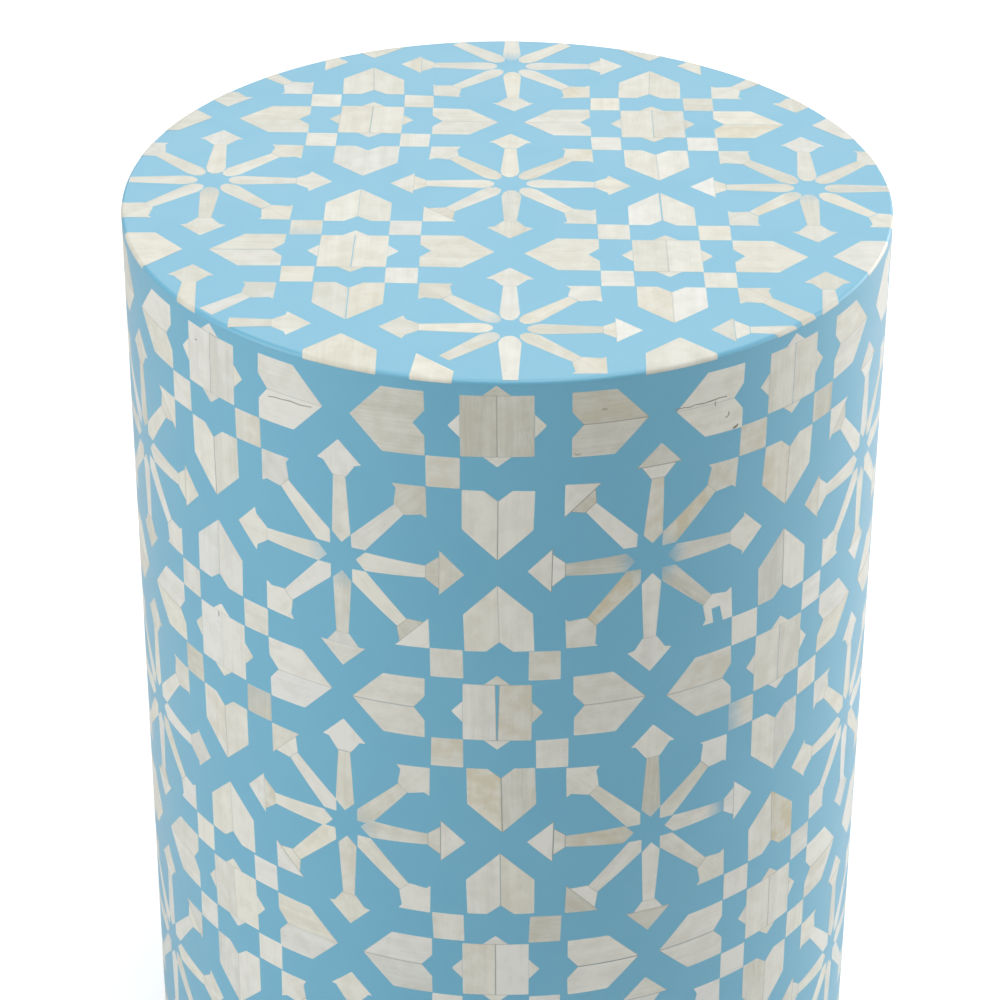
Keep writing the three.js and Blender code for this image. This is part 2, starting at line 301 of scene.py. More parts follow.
@dataclass(frozen=True)
class Stray:
    """A small error of place and turn."""

    across: float
    up: float
    turn: float

    def applied(self, outline: tuple[Point, ...], middle: Point) -> tuple[Point, ...]:
        """An outline turned about a middle and moved."""
        sine, cosine = math.sin(self.turn), math.cos(self.turn)
        moved = []
        for across, up in outline:
            x, y = across - middle[0], up - middle[1]
            moved.append(
                (
                    middle[0] + cosine * x - sine * y + self.across,
                    middle[1] + sine * x + cosine * y + self.up,
                )
            )
        return tuple(moved)


@dataclass(frozen=True)
class HandCut:
    """How far slips cut and laid by hand stray from the drawn pattern, in millimetres.

    Slips laid together, such as the halves of a shield, stray together by shift and turn.
    The corners of each one stray a little more, but hardly where it meets another slip.
    """

    shift: float = 0.26
    turn: float = math.radians(0.6)
    corner: float = 0.16
    seam_corner: float = 0.02
    kerf: float = 0.05
    rounding: Point = (0.25, 0.75)

    def stray(self, rng: random.Random) -> Stray:
        """The error of slips that are laid together."""
        return Stray(rng.gauss(0, self.shift), rng.gauss(0, self.shift), rng.gauss(0, self.turn))

    def applied(self, slip: Slip, together: Stray, rng: random.Random) -> Slip:
        """One slip with its small errors of place, turn and corners.

        Args:
            slip: The slip as drawn, in millimetres.
            together: The error that it shares with the slips laid with it.
            rng: Where its own errors are drawn from.

        Returns:
            The slip as laid.
        """
        count = len(slip.outline)
        outline = together.applied(slip.outline, slip.pivot)
        close = slip.seams | {(edge + 1) % count for edge in slip.seams}
        if slip.motif in (Motif.STAR, Motif.POINT):
            close = frozenset(range(count))
        moved = []
        for index, (across, up) in enumerate(outline):
            most = self.seam_corner if index in close else self.corner
            moved.append((across + rng.uniform(-most, most), up + rng.uniform(-most, most)))
        widths = [0.0 if edge in slip.seams else self.kerf for edge in range(count)]
        return replace(
            slip,
            outline=tuple(inset(moved, widths)),
            grain=slip.grain + together.turn,
            wear=rng.uniform(*self.rounding),
        )


@dataclass(frozen=True)
class Pattern:
    """Outlines of the slips, in shares of the pitch between two stars.

    Every motif is drawn along +X from the middle of its star or rosette. With round_roots a
    ray starts with blunt_root and blunt_hub, which lie off its sharp corners. square_growth
    is how far the shoulder of a head moves as it becomes a square. stump holds the outer
    corners of a stump, and chip those of a chip, which lie off the barb.
    """

    star_side: float = 0.110
    star_tip: float = 0.1556
    point_half: float = 0.0425
    point_tip: float = 0.147
    far: float = 0.215
    shield_notch: float = 0.2505
    notch_half: float = 0.043
    shield_shoulder: float = 0.350
    shield_tip: float = 0.455
    ray_root: float = 0.050
    ray_hub: Point = (0.0835, 0.0335)
    neck: float = 0.280
    neck_half: float = 0.0215
    head_neck_half: float = 0.0245
    shoulder: Point = (0.318, 0.051)
    barb: Point = (0.326, 0.078)
    joint: float = 0.0001
    seam: float = 0.0005
    balance: Point = (0.22, 0.0)
    round_roots: bool = False
    blunt_root: Point = (0.001, 0.010)
    blunt_hub: tuple[Point, ...] = ((-0.016, 0.007), (0.012, 0.0))
    square_growth: Point = (0.009, 0.012)
    stump: tuple[Point, ...] = ((0.446, 0.019), (0.369, 0.118))
    chip: tuple[Point, ...] = (
        (0.028, -0.050), (-0.010, -0.016), (0.008, 0.006), (0.052, -0.028)
    )

    @property
    def arrow_tip(self) -> float:
        """How far an arrow reaches: to the corner of the nearest square."""
        return (0.5 - self.far) * math.sqrt(2)

    def star(self, gap: float, flare: float) -> list[Slip]:
        """The square of a star, in two slips with an upright seam.

        Args:
            gap: Half the width of the seam.
            flare: How much wider each half of it is at the top.

        Returns:
            Its slips.
        """
        side = self.star_side
        right = [(gap, -side), (side, -side), (side, side), (gap + flare, side)]
        left = [(-gap - flare, side), (-side, side), (-side, -side), (-gap, -side)]
        return [
            Slip(Motif.STAR, tuple(right), frozenset({3}), (0, 0), QUARTER),
            Slip(Motif.STAR, tuple(left), frozenset({3}), (0, 0), QUARTER),
        ]

    def point(self) -> Slip:
        """One of the four small points of a star."""
        foot = self.star_side + self.joint
        outline = ((foot, -self.point_half), (self.point_tip, 0), (foot, self.point_half))
        return Slip(Motif.POINT, outline, frozenset({2}), (foot, 0), QUARTER)

    def square(self) -> Slip:
        """One of the four small squares at a star's corners."""
        near, far = self.star_side + self.joint, self.far
        outline = ((near, near), (far, near), (far, far), (near, far))
        middle = (near + far) / 2
        return Slip(Motif.SQUARE, outline, frozenset(), (near, near), 0, (middle, middle))

    def shield(self, gap: float, whole: bool) -> list[Slip]:
        """One shield, in two slips split along its axis, or sometimes in one."""
        half = [
            (self.shield_notch, gap),
            (self.shield_tip, gap),
            (self.shield_shoulder, self.star_side),
            (self.far, self.star_side),
            (self.far, self.notch_half),
        ]
        root, middle = (self.far, 0), (self.shield_shoulder, 0)
        if whole:
            upper, lower = half[2:], mirrored(half[2:])
            outline = ((self.shield_tip, 0.0), *upper, (self.shield_notch, 0.0), *lower)
            return [Slip(Motif.SHIELD, outline, frozenset(), root, 0, middle)]
        return [
            Slip(Motif.SHIELD, tuple(half), frozenset({0}), root, 0, middle),
            Slip(Motif.SHIELD, mirrored(half), frozenset({3}), root, 0, middle),
        ]

    def ray(self, end: float | None = None, start: float = 0.0) -> Slip:
        """The tapered shaft of one arrow.

        Args:
            end: How far it reaches, if not to its neck.
            start: Where it starts, if not with a whole root.

        Returns:
            The slip.
        """
        hub, half = self.ray_hub
        neck = self.neck - self.joint if end is None else end
        if start > hub:
            wide = half + (self.neck_half - half) * (start - hub) / (neck - hub)
            low = [(start, -wide), (neck, -self.neck_half)]
            outline = (*low, *mirrored(low))
            return Slip(Motif.RAY, outline, frozenset({1}), (start, 0), 0, self.balance)
        root = [(self.ray_root, 0.0)]
        low = [(hub, -half)]
        if self.round_roots:
            ahead, aside = self.blunt_root
            root = [(self.ray_root + ahead, -aside), (self.ray_root + ahead, aside)]
            low = [(hub + ahead, up - half) for ahead, up in self.blunt_hub]
        seam = 1 + len(low)
        low.append((neck, -self.neck_half))
        outline = (*root[:1], *low, *mirrored(low), *root[1:])
        return Slip(Motif.RAY, outline, frozenset({seam}), (self.ray_root, 0), 0, self.balance)

    def head(self, form: Head, square: float) -> list[Slip]:
        """The head of one arrow.

        Args:
            form: Which kind of head.
            square: From 0, with long barbs, to 1, almost a plain square.

        Returns:
            Its slips.
        """
        neck, tip = self.neck + self.joint, self.arrow_tip - 2 * self.joint
        barb, out = self.barb
        across = self.shoulder[0] + self.square_growth[0] * square
        half = self.shoulder[1] + self.square_growth[1] * square
        low = [(neck, -self.head_neck_half), (across, -half)]
        high, cut = mirrored(low), across + self.joint
        outer = {
            Head.PARTED: ((cut, -out), (tip, 0.0), (cut, out)),
            Head.STUMP: ((cut, -out), *self.stump, (cut, out)),
        }.get(form)
        if outer:
            seam = frozenset({len(outer) - 1})
            inner = Slip(Motif.HEAD, (*low, *high), frozenset({1, 3}), (neck, 0), 0, self.balance)
            return [inner, Slip(Motif.HEAD, outer, seam, (cut, 0), QUARTER, self.balance)]
        chip = []
        if form is Head.CHIPPED:
            chip = [(barb + ahead, aside) for ahead, aside in self.chip]
        outline = (*low, (barb, -out), *chip, (tip, 0.0), (barb, out), *high)
        seam = frozenset({len(outline) - 1})
        return [Slip(Motif.HEAD, outline, seam, (neck, 0), 0, self.balance)]


class Surface:
    """A face of the drum that slips are let into. Its flat places are in millimetres.

    A slip of it is thickness deep, and cut into strips that are no wider than strip.
    """

    thickness: float = 1.3
    strip: float = math.inf

    def __init__(self, drum: DrumSizes) -> None:
        """Keeps the drum's sizes."""
        self.drum = drum

    def flat(self, outline: list[Point]) -> list[Point]:
        """An outline in the flat places that place() takes."""
        return outline

    def plan(self, across: float, up: float) -> Point:
        """The place in the drawn pattern that a flat place stands for."""
        return across, up

    def cuts(self, outline: list[Point]) -> Iterator[tuple[Vector, Vector, bool]]:
        """Upright planes that cut a flat slip, so that it can bend.

        Args:
            outline: The slip's flat outline.

        Yields:
            A point of the plane, its normal, and whether what lies beyond is cut off.
        """
        low, high = min(p[0] for p in outline), max(p[0] for p in outline)
        strips = max(1, math.ceil((high - low) / self.strip))
        for index in range(1, strips):
            across = low + (high - low) * index / strips
            yield Vector((across, 0, 0)), Vector((1, 0, 0)), False

    def place(self, across: float, up: float, depth: float) -> Vector:
        """The place on the drum of a flat place at a depth, in millimetres."""
        raise NotImplementedError


class WallSurface(Surface):
    """The round wall, unrolled from its front."""

    strip: float = 3.3

    def place(self, across: float, up: float, depth: float) -> Vector:
        """The place on the round wall."""
        angle = self.drum.wall_turn + across / self.drum.radius
        out = self.drum.radius - depth
        return Vector((out * math.sin(angle), -out * math.cos(angle), up))


class SeatSurface(Surface):
    """The flat middle of the seat."""

    thickness: float = 1.9

    def place(self, across: float, up: float, depth: float) -> Vector:
        """The place on the flat seat."""
        return Vector((across, up, self.drum.height - depth))


class RimSurface(SeatSurface):
    """The seat near its rim, in flat places that run round the rim and out from the middle."""

    strip: float = 2.6
    densest: float = 1.2
    rows: int = 6

    def flat(self, outline: list[Point]) -> list[Point]:
        """The outline with its edges split up, so that they stay straight on the seat."""
        radius = self.drum.radius
        middle = Vector((sum(p[0] for p in outline), sum(p[1] for p in outline)))
        bearing = math.atan2(middle.y, middle.x)
        result = []
        for index, start in enumerate(outline):
            end = outline[(index + 1) % len(outline)]
            steps = max(1, math.ceil(math.dist(start, end) / self.densest))
            for step in range(steps):
                across = start[0] + (end[0] - start[0]) * step / steps
                up = start[1] + (end[1] - start[1]) * step / steps
                angle = (math.atan2(up, across) - bearing + math.pi) % (2 * math.pi) - math.pi
                result.append((-(bearing + angle) * radius, math.hypot(across, up)))
        return result[::-1]

    def plan(self, across: float, up: float) -> Point:
        """The place on the seat, from the way round the rim and the way out."""
        angle = -across / self.drum.radius
        return up * math.cos(angle), up * math.sin(angle)

    def cuts(self, outline: list[Point]) -> Iterator[tuple[Vector, Vector, bool]]:
        """The drum's edge, rows over the rounding, and upright planes round it."""
        radius, rounding = self.drum.radius, self.drum.rim_round
        yield Vector((0, radius - self.drum.face_drop, 0)), Vector((0, 1, 0)), True
        for row in range(self.rows):
            out = radius - rounding + rounding * math.sin(QUARTER * row / self.rows)
            yield Vector((0, out, 0)), Vector((0, 1, 0)), False
        yield from super().cuts(outline)

    def place(self, across: float, up: float, depth: float) -> Vector:
        """The place on the seat, which drops over the rounding of the rim."""
        rounding = self.drum.rim_round
        over = min(max(0.0, up - self.drum.radius + rounding), rounding)
        drop = rounding - math.sqrt(rounding * rounding - over * over)
        x, y = self.plan(across, up)
        low = max(depth, drop + min(depth, self.drum.skin_drop))
        return Vector((x, y, self.drum.height - low))


# The least sine of a corner that wears round and of one that is mitred, how many widths a
# mitre may reach, the most of a side that wear takes, and the points of a worn corner
LEAST_TURN = 0.05
LEAST_MITRE = 0.15
MOST_MITRE = 4.0
MOST_WORN = 0.3
WORN_ROUND = ((1.0, 0.0), (0.25, 0.25), (0.0, 1.0))


def inset(outline: list[Point], widths: list[float]) -> list[Point]:
    """An outline with its sides moved inwards.

    Args:
        outline: Anticlockwise corners.
        widths: How far the side that starts at each corner moves in.

    Returns:
        The corners of the smaller outline, in the same order.
    """
    result = []
    count = len(outline)
    for index, here in enumerate(outline):
        before, after = Vector(outline[index - 1]), Vector(outline[(index + 1) % count])
        corner = Vector(here)
        first, second = (corner - before).normalized(), (after - corner).normalized()
        inwards = [Vector((-side.y, side.x)) for side in (first, second)]
        bend = first.x * second.y - first.y * second.x
        if abs(bend) < LEAST_MITRE:
            moved = inwards[0] * widths[index - 1]
        else:
            moved = (second * widths[index - 1] - first * widths[index]) / bend
        most = MOST_MITRE * max(widths)
        if moved.length > most > 0:
            moved = moved.normalized() * most
        result.append(tuple(corner + moved))
    return result


def worn(outline: list[Point], corners: set[int], size: float) -> list[list[Point]]:
    """An outline with some corners worn round.

    Args:
        outline: Its sharp corners.
        corners: Which of them are worn.
        size: Length that goes from each side at such a corner.

    Returns:
        The points that stand for each corner, one or three.
    """
    groups = []
    for index, here in enumerate(outline):
        corner = Vector(here)
        sides = [Vector(outline[index - 1]) - corner,
                 Vector(outline[(index + 1) % len(outline)]) - corner]
        if index not in corners:
            groups.append([here])
            continue
        cut = min(size, *(MOST_WORN * side.length for side in sides))
        one, two = (side.normalized() * cut for side in sides)
        groups.append([tuple(corner + one * back + two * on) for back, on in WORN_ROUND])
    return groups


class SlipLayer:
    """Builds all slips of one motif on one side of the drum as one mesh."""

    arris: float = 0.22
    seam_arris: float = 0.32
    fill_arris: float = 0.05
    inner_wear: float = 0.6
    seam_rise: float = 0.03

    def __init__(self, drum: DrumSizes) -> None:
        """Starts with an empty mesh."""
        self.drum = drum
        self.points: list[Vector] = []
        self.faces: list[list[int]] = []
        self.zones: list[int] = []
        self.places: list[tuple[float, float, float]] = []
        self.makes: list[tuple[float, float, float]] = []
        self.casts: list[tuple[float, float, float]] = []

    def lay(self, slip: Slip, surface: Surface, sink: float) -> None:
        """Adds one slip, bent to its surface.

        Args:
            slip: The slip, in millimetres on the drawn pattern.
            surface: The face of the drum that it lies in.
            sink: How far its face lies under the highest ones.
        """
        sharp, corners = list(slip.outline), slip.free_corners() if slip.wear else set()
        count, arris = len(sharp), self.arris if slip.wear else self.fill_arris
        widths = [self.seam_arris if edge in slip.seams else arris for edge in range(count)]
        groups = worn(sharp, corners, slip.wear)
        ends = slip.seams | {(edge + 1) % count for edge in slip.seams}
        seams = [slip.bone.seam * (index in ends) for index, g in enumerate(groups) for _ in g]
        outer = [point for group in groups for point in group]
        groups = worn(inset(sharp, widths), corners, self.inner_wear * slip.wear)
        inner = [point for group in groups for point in group]
        shape = bmesh.new()
        seam_layer = shape.verts.layers.float.new("seam")
        zone_layer = shape.faces.layers.int.new("zone")
        if isinstance(surface, RimSurface):
            outer, inner = surface.flat(outer), surface.flat(inner)
            if len(outer) != len(inner):
                inner = inset(outer, [self.arris] * len(outer))
            seams = [0.0] * len(outer)
        rings = []
        top, skin = self.drum.face_drop + sink, self.drum.skin_drop + sink
        for loop, depth in ((inner, top), (outer, skin), (outer, surface.thickness)):
            ring = [shape.verts.new((across, up, -depth)) for across, up in loop]
            rings.append(ring)
        for vertex, seam in zip(rings[1], seams):
            vertex[seam_layer] = seam
            if seam:
                vertex.co.z = self.seam_rise - self.drum.skin_drop
        caps = [
            (shape.faces.new(rings[0]), Zone.FACE),
            (shape.faces.new(list(reversed(rings[2]))), Zone.BACK),
        ]
        for face, zone in caps:
            face[zone_layer] = zone.value
        count = len(rings[0])
        for (high, low), zone in ((rings[:2], Zone.ARRIS), (rings[1:], Zone.SIDE)):
            for index in range(count):
                after = (index + 1) % count
                face = shape.faces.new((high[after], high[index], low[index], low[after]))
                face[zone_layer] = zone.value
        shape.normal_update()
        bmesh.ops.triangulate(shape, faces=[face for face, _ in caps], ngon_method="EAR_CLIP")
        for at, normal, clears in surface.cuts(outer):
            everything = [*shape.verts, *shape.edges, *shape.faces]
            made = bmesh.ops.bisect_plane(
                shape, geom=everything, plane_co=at, plane_no=normal, clear_outer=clears
            )
            cut = [e for e in made["geom_cut"] if isinstance(e, bmesh.types.BMEdge)]
            if clears and cut:
                filled = bmesh.ops.edgenet_fill(shape, edges=cut)
                for face in filled["faces"]:
                    face[zone_layer] = Zone.SIDE.value
                shape.normal_update()
                bmesh.ops.triangulate(shape, faces=filled["faces"])
        self._take(shape, slip, surface, seam_layer, zone_layer)
        shape.free()

    def _take(
        self,
        shape: bmesh.types.BMesh,
        slip: Slip,
        surface: Surface,
        seam_layer: bmesh.types.BMLayerItem,
        zone_layer: bmesh.types.BMLayerItem,
    ) -> None:
        """Moves a finished flat slip into the mesh, on its place on the drum."""
        start = len(self.points)
        sine, cosine = math.sin(slip.grain), math.cos(slip.grain)
        bone = slip.bone
        shape.verts.index_update()
        for vertex in shape.verts:
            across, up, low = vertex.co
            self.points.append(surface.place(across, up, -low) * MM)
            x, y = surface.plan(across, up)
            x, y = x - slip.root[0], y - slip.root[1]
            self.places.append(
                ((x * cosine + y * sine) * MM, (y * cosine - x * sine) * MM, bone.seed)
            )
            self.makes.append((bone.tone, bone.stain, bone.veil))
            self.casts.append((bone.ash, vertex[seam_layer], bone.warm))
        for face in shape.faces:
            self.faces.append([start + vertex.index for vertex in face.verts])
            self.zones.append(face[zone_layer])

    def build(self, name: str, material: Material) -> bpy.types.Object:
        """The mesh of all slips laid so far, as an object.

        Args:
            name: Name of the piece.
            material: Its finish.

        Returns:
            The new object.
        """
        mesh = bpy.data.meshes.new(name)
        mesh.from_pydata(self.points, [], self.faces)
        attributes = {SLIP_PLACE: self.places, SLIP_MAKE: self.makes, SLIP_CAST: self.casts}
        for label, values in attributes.items():
            layer = mesh.attributes.new(label, "FLOAT_VECTOR", "POINT")
            layer.data.foreach_set("vector", [number for value in values for number in value])
        mesh.polygons.foreach_set("use_smooth", [True] * len(mesh.polygons))
        mark_zone_edges(mesh, self.zones)
        return new_object(name, mesh, material)


def mark_zone_edges(mesh: bpy.types.Mesh, zones: list[int]) -> None:
    """Makes the edges between faces of different zones sharp."""
    found: dict[int, int] = {}
    sharp = [False] * len(mesh.edges)
    for polygon, zone in zip(mesh.polygons, zones):
        for corner in polygon.loop_indices:
            edge = mesh.loops[corner].edge_index
            sharp[edge] = sharp[edge] or found.setdefault(edge, zone) != zone
    mesh.edges.foreach_set("use_edge_sharp", sharp)


def new_object(name: str, mesh: bpy.types.Mesh, material: Material) -> bpy.types.Object:
    """An object in the scene with one material."""
    mesh.materials.append(material)
    made = bpy.data.objects.new(name, mesh)
    bpy.context.scene.collection.objects.link(made)
    return made


@dataclass(frozen=True)
class Spot:
    """Where a slip lies in the pattern.

    column and row are its motif's middle, eighth its turn in eighths, and part its number
    where a shield, a star or an arrowhead is in two slips.
    """

    column: float
    row: float
    eighth: int
    part: int = 0


# Which slip, by its motif and where it lies
Laid = tuple[Motif, Spot]


def bones(motif: Motif, looks: dict[tuple[float, ...], tuple[float, ...]]) -> dict[Laid, Bone]:
    """How slips of one motif look.

    Args:
        motif: Their motif.
        looks: What Spot takes for the place of each slip, and what Bone takes for its look.

    Returns:
        The looks by motif and spot.
    """
    return {(motif, Spot(*place)): Bone(*look) for place, look in looks.items()}


def heads(column: float, row: float, **kinds: tuple[int, ...]) -> dict[Spot, Head]:
    """The kinds of a rosette's arrowheads: its eighths by the kind's name."""
    return {
        Spot(column, row, eighth): Head(kind) for kind, eighths in kinds.items()
        for eighth in eighths
    }


# Slips of the wall that look unlike their neighbours, as in the photograph. A row holds the
# column, row, eighth and part, then the tone, stain, veil, ash, seed, seam, warm and far_veil
WALL_BONES: dict[Laid, Bone] = {
    **bones(Motif.RAY, {
        (0.5, 2.5, 4): (0.75, 0.1, 0.75, 0.9, 11.3), (0.5, 2.5, 5): (0.5, 1, 0.2, 0, 12.1),
        (0.5, 2.5, 1): (0.45, 0.85, 0.3, 0, 13.7), (0.5, 2.5, 0): (0.5, 0.05, 0.95, 0.3, 14.2),
        (0.5, 2.5, 7): (0.6, 0.15, 0.6, 0.7, 15.9), (0.5, 2.5, 2): (0.45, 0.45, 0, 0, 16.4),
        (0.5, 2.5, 3): (0.15, 0, 0, 0, 16.9), (0.5, 2.5, 6): (0.2, 0.05, 0, 0, 17),
        (0.5, 1.5, 4): (0.65, 0.6, 0.1, 0.3, 17.2), (0.5, 1.5, 2): (0.75, 0.3, 0.1, 0.8, 18.8),
        (0.5, 1.5, 0): (0.35, 0.1, 0.9, 0.1, 18.9, 0.15, 0.5, True),
        (-0.5, 2.5, 6): (0.45, 0.1, 0.4, 0.3, 19.5), (-0.5, 2.5, 2): (0.4, 0.1, 0, 0, 19.6),
        (-0.5, 1.5, 1): (0.4, 0.35, 0.2, 0.2, 20.6), (0.5, 1.5, 6): (0.2, 0, 0, 0, 42.1),
        (0.5, 1.5, 5): (0.3, 0.05, 0, 0, 42.3), (-0.5, 1.5, 0): (0.45, 0.15, 0.35, 0.2, 42.9),
    }),
    **bones(Motif.HEAD, {
        (-0.5, 2.5, 1): (0.75, 0.2, 0, 0.4, 21.4), (-0.5, 2.5, 0): (0.7, 0.3, 0, 0.2, 22.9, 0.4),
        (-0.5, 2.5, 0, 1): (0.5, 0.25, 0, 0.1, 22.4),
        (-0.5, 2.5, 7): (0.75, 0.2, 0, 0.3, 22.6, 0.4), (-0.5, 2.5, 7, 1): (0.1, 0, 0, 0, 22.7),
        (0.5, 2.5, 1): (0.55, 0.35, 0, 0, 23.3), (0.5, 2.5, 7): (0.1, 0, 0, 0, 33.3),
        (0.5, 2.5, 5): (0.4, 0.1, 0, 0, 33.9), (0.5, 2.5, 4): (0.05, 0, 0, 0, 34.1, 1),
        (0.5, 2.5, 4, 1): (0.25, 0.05, 0, 0, 34.3, 1), (0.5, 1.5, 4): (0.3, 0.05, 0, 0, 34.5, 1),
        (0.5, 1.5, 4, 1): (0.1, 0, 0, 0, 34.7, 1), (0.5, 2.5, 3): (0.75, 0.35, 0, 0.3, 35.1, 1),
        (0.5, 2.5, 3, 1): (0.2, 0.05, 0, 0, 35.3, 0.8), (0.5, 2.5, 2): (0.1, 0, 0, 0, 35.5, 0.8),
        (0.5, 2.5, 2, 1): (0.6, 0.1, 0, 0.2, 35.7, 0.8), (0.5, 1.5, 5): (0.05, 0, 0, 0, 41.3, 0.5),
        (0.5, 1.5, 5, 1): (0.8, 0.3, 0, 0.4, 41.5, 0.5), (0.5, 1.5, 6): (0.05, 0, 0, 0, 41.7, 0.5),
        (0.5, 1.5, 6, 1): (0.75, 0.25, 0, 0.3, 41.9, 0.5),
        (-0.5, 1.5, 0): (0.45, 0.15, 0, 0, 42.5, 0.7),
        (-0.5, 1.5, 0, 1): (0.25, 0.1, 0, 0.1, 42.7, 0.7),
    }),
    **bones(Motif.STAR, {
        (0, 3, 0): (0.65, 0.2, 0, 0.4, 24.8, 0.6), (0, 3, 0, 1): (0.9, 0.25, 0, 0.5, 24.1, 0.6),
        (0, 2, 0): (0.45, 0.45, 0, 0.1, 25.4, 0.8), (0, 2, 0, 1): (0.25, 0, 0, 0.2, 25.6, 0.8),
        (1, 3, 0): (0.35, 0.1, 0, 0.2, 25.1, 0.2, 0.7),
        (1, 3, 0, 1): (0.3, 0.1, 0, 0.2, 25.2, 0.2, 0.7),
        (0, 1, 0): (0.05, 0, 0, 0, 39.1, 0.8, 0.3), (0, 1, 0, 1): (0.3, 0.2, 0, 0, 39.3, 0.8, 0.7),
    }),
    **bones(Motif.POINT, {
        (0, 3, 2): (0.9, 0.2, 0, 0.3, 24.3, 0.2), (0, 3, 4): (0, 0, 0, 0, 24.4, 0.2),
        (0, 2, 0): (0.5, 0.5, 0, 0.2, 39.5, 0.3), (0, 2, 2): (0.5, 0.25, 0, 0.4, 39.7, 0.3),
        (0, 2, 4): (0.05, 0, 0, 0, 39.9, 0.3),
    }),
    **bones(Motif.SHIELD, {
        (0, 3, 0): (0.8, 0.4, 0, 0.5, 26, 0.8), (0, 3, 0, 1): (0.65, 0.1, 0, 0.3, 26.5, 0.8),
        (0, 3, 4): (0.55, 0.15, 0, 0.6, 27.7, 0.2), (0, 3, 4, 1): (0.7, 0.25, 0, 0.6, 27.1, 0.2),
        (0, 2, 6): (0.5, 0.15, 0, 0.3, 28.6, 0.8), (0, 2, 6, 1): (0.35, 0.6, 0, 0, 28.8, 0.8, 0.9),
        (1, 2, 4): (0.35, 0.1, 0, 0.2, 28.3, 0.4), (1, 2, 4, 1): (0.45, 0.3, 0, 0.1, 28.4, 0.4),
        (1, 3, 6): (0.3, 0.1, 0, 0.1, 28.2, 0.5, 0.7),
        (1, 3, 6, 1): (0.4, 0.5, 0, 0.1, 28.1, 0.5, 0.8), (1, 1, 2, 1): (0.6, 1, 0, 0.2, 29.6),
        (0, 2, 2): (0.3, 0.1, 0, 0, 36.1, 0.3, 0.8), (0, 2, 2, 1): (0.2, 0, 0, 0, 36.3, 0.3, 0.6),
        (0, 3, 6): (0.15, 0, 0, 0, 36.5, 0.7, 0.6),
        (0, 3, 6, 1): (0.3, 0.05, 0, 0, 36.7, 0.7, 0.7), (0, 2, 0): (0.5, 0.1, 0, 0, 37.1, 0.7),
        (0, 2, 0, 1): (0.4, 0.05, 0, 0, 37.3, 0.7), (0, 2, 4): (0.45, 0.1, 0, 0, 37.5, 0.5),
        (0, 2, 4, 1): (0.35, 0.1, 0, 0.1, 37.7, 0.5), (0, 1, 2): (0.25, 0.05, 0, 0, 38.1, 0.5),
        (0, 1, 2, 1): (0.4, 0.2, 0, 0, 38.3, 0.5, 0.8), (0, 1, 0): (0.2, 0.05, 0, 0, 38.5, 1, 0.6),
        (0, 1, 0, 1): (0.15, 0, 0, 0, 38.7, 1, 0.6),
    }),
    **bones(Motif.SQUARE, {
        (-1, 3, 7): (0.4, 0.3, 0, 0.1, 30.5), (0, 3, 5): (0.45, 0.3, 0, 0, 30.7),
        (0, 2, 5): (0.45, 0.5, 0, 0.1, 30.9), (1, 3, 5): (0.5, 0.45, 0, 0, 31.2),
        (1, 2, 5): (0.3, 0.2, 0.6, 0.2, 31.8, 0.15, 0.5, True),
        (-1, 2, 7): (0.85, 0.1, 0.1, 0.8, 32.4), (0, 2, 1): (0.5, 0.25, 0, 0, 40.1),
        (0, 2, 3): (0.35, 0.1, 0, 0, 40.3), (0, 2, 7): (0.3, 0, 0, 0, 40.5),
        (0, 1, 1): (0.7, 0.2, 0, 0.4, 40.7), (0, 1, 3): (0.35, 0.1, 0, 0, 40.9),
        (-1, 2, 1): (0.35, 0.1, 0, 0, 41.1),
    }),
}


@dataclass(frozen=True)
class Fault:
    """A filled pit or crack of the wall's slips, as a row of places with half widths.

    Places are ways round the wall from its front and heights, in millimetres. width scales
    the half widths, within uneven by chance, and spread is added to them.
    """

    line: tuple[tuple[float, float, float], ...]
    dark: float = 0.8
    width: float = 0.7
    spread: float = 0.15
    uneven: Point = (0.7, 1.3)

    def outline(self, rng: random.Random) -> tuple[Point, ...]:
        """The fault's anticlockwise outline, with an uneven edge."""
        low, high = [], []
        for index, (across, up, half) in enumerate(self.line):
            before = self.line[max(0, index - 1)]
            after = self.line[min(len(self.line) - 1, index + 1)]
            along = Vector((after[0] - before[0], after[1] - before[1])).normalized()
            for side, edge in ((-1, low), (1, high)):
                off = side * (half * self.width * rng.uniform(*self.uneven) + self.spread)
                edge.append((across - along.y * off, up + along.x * off))
        return tuple(low + high[::-1])


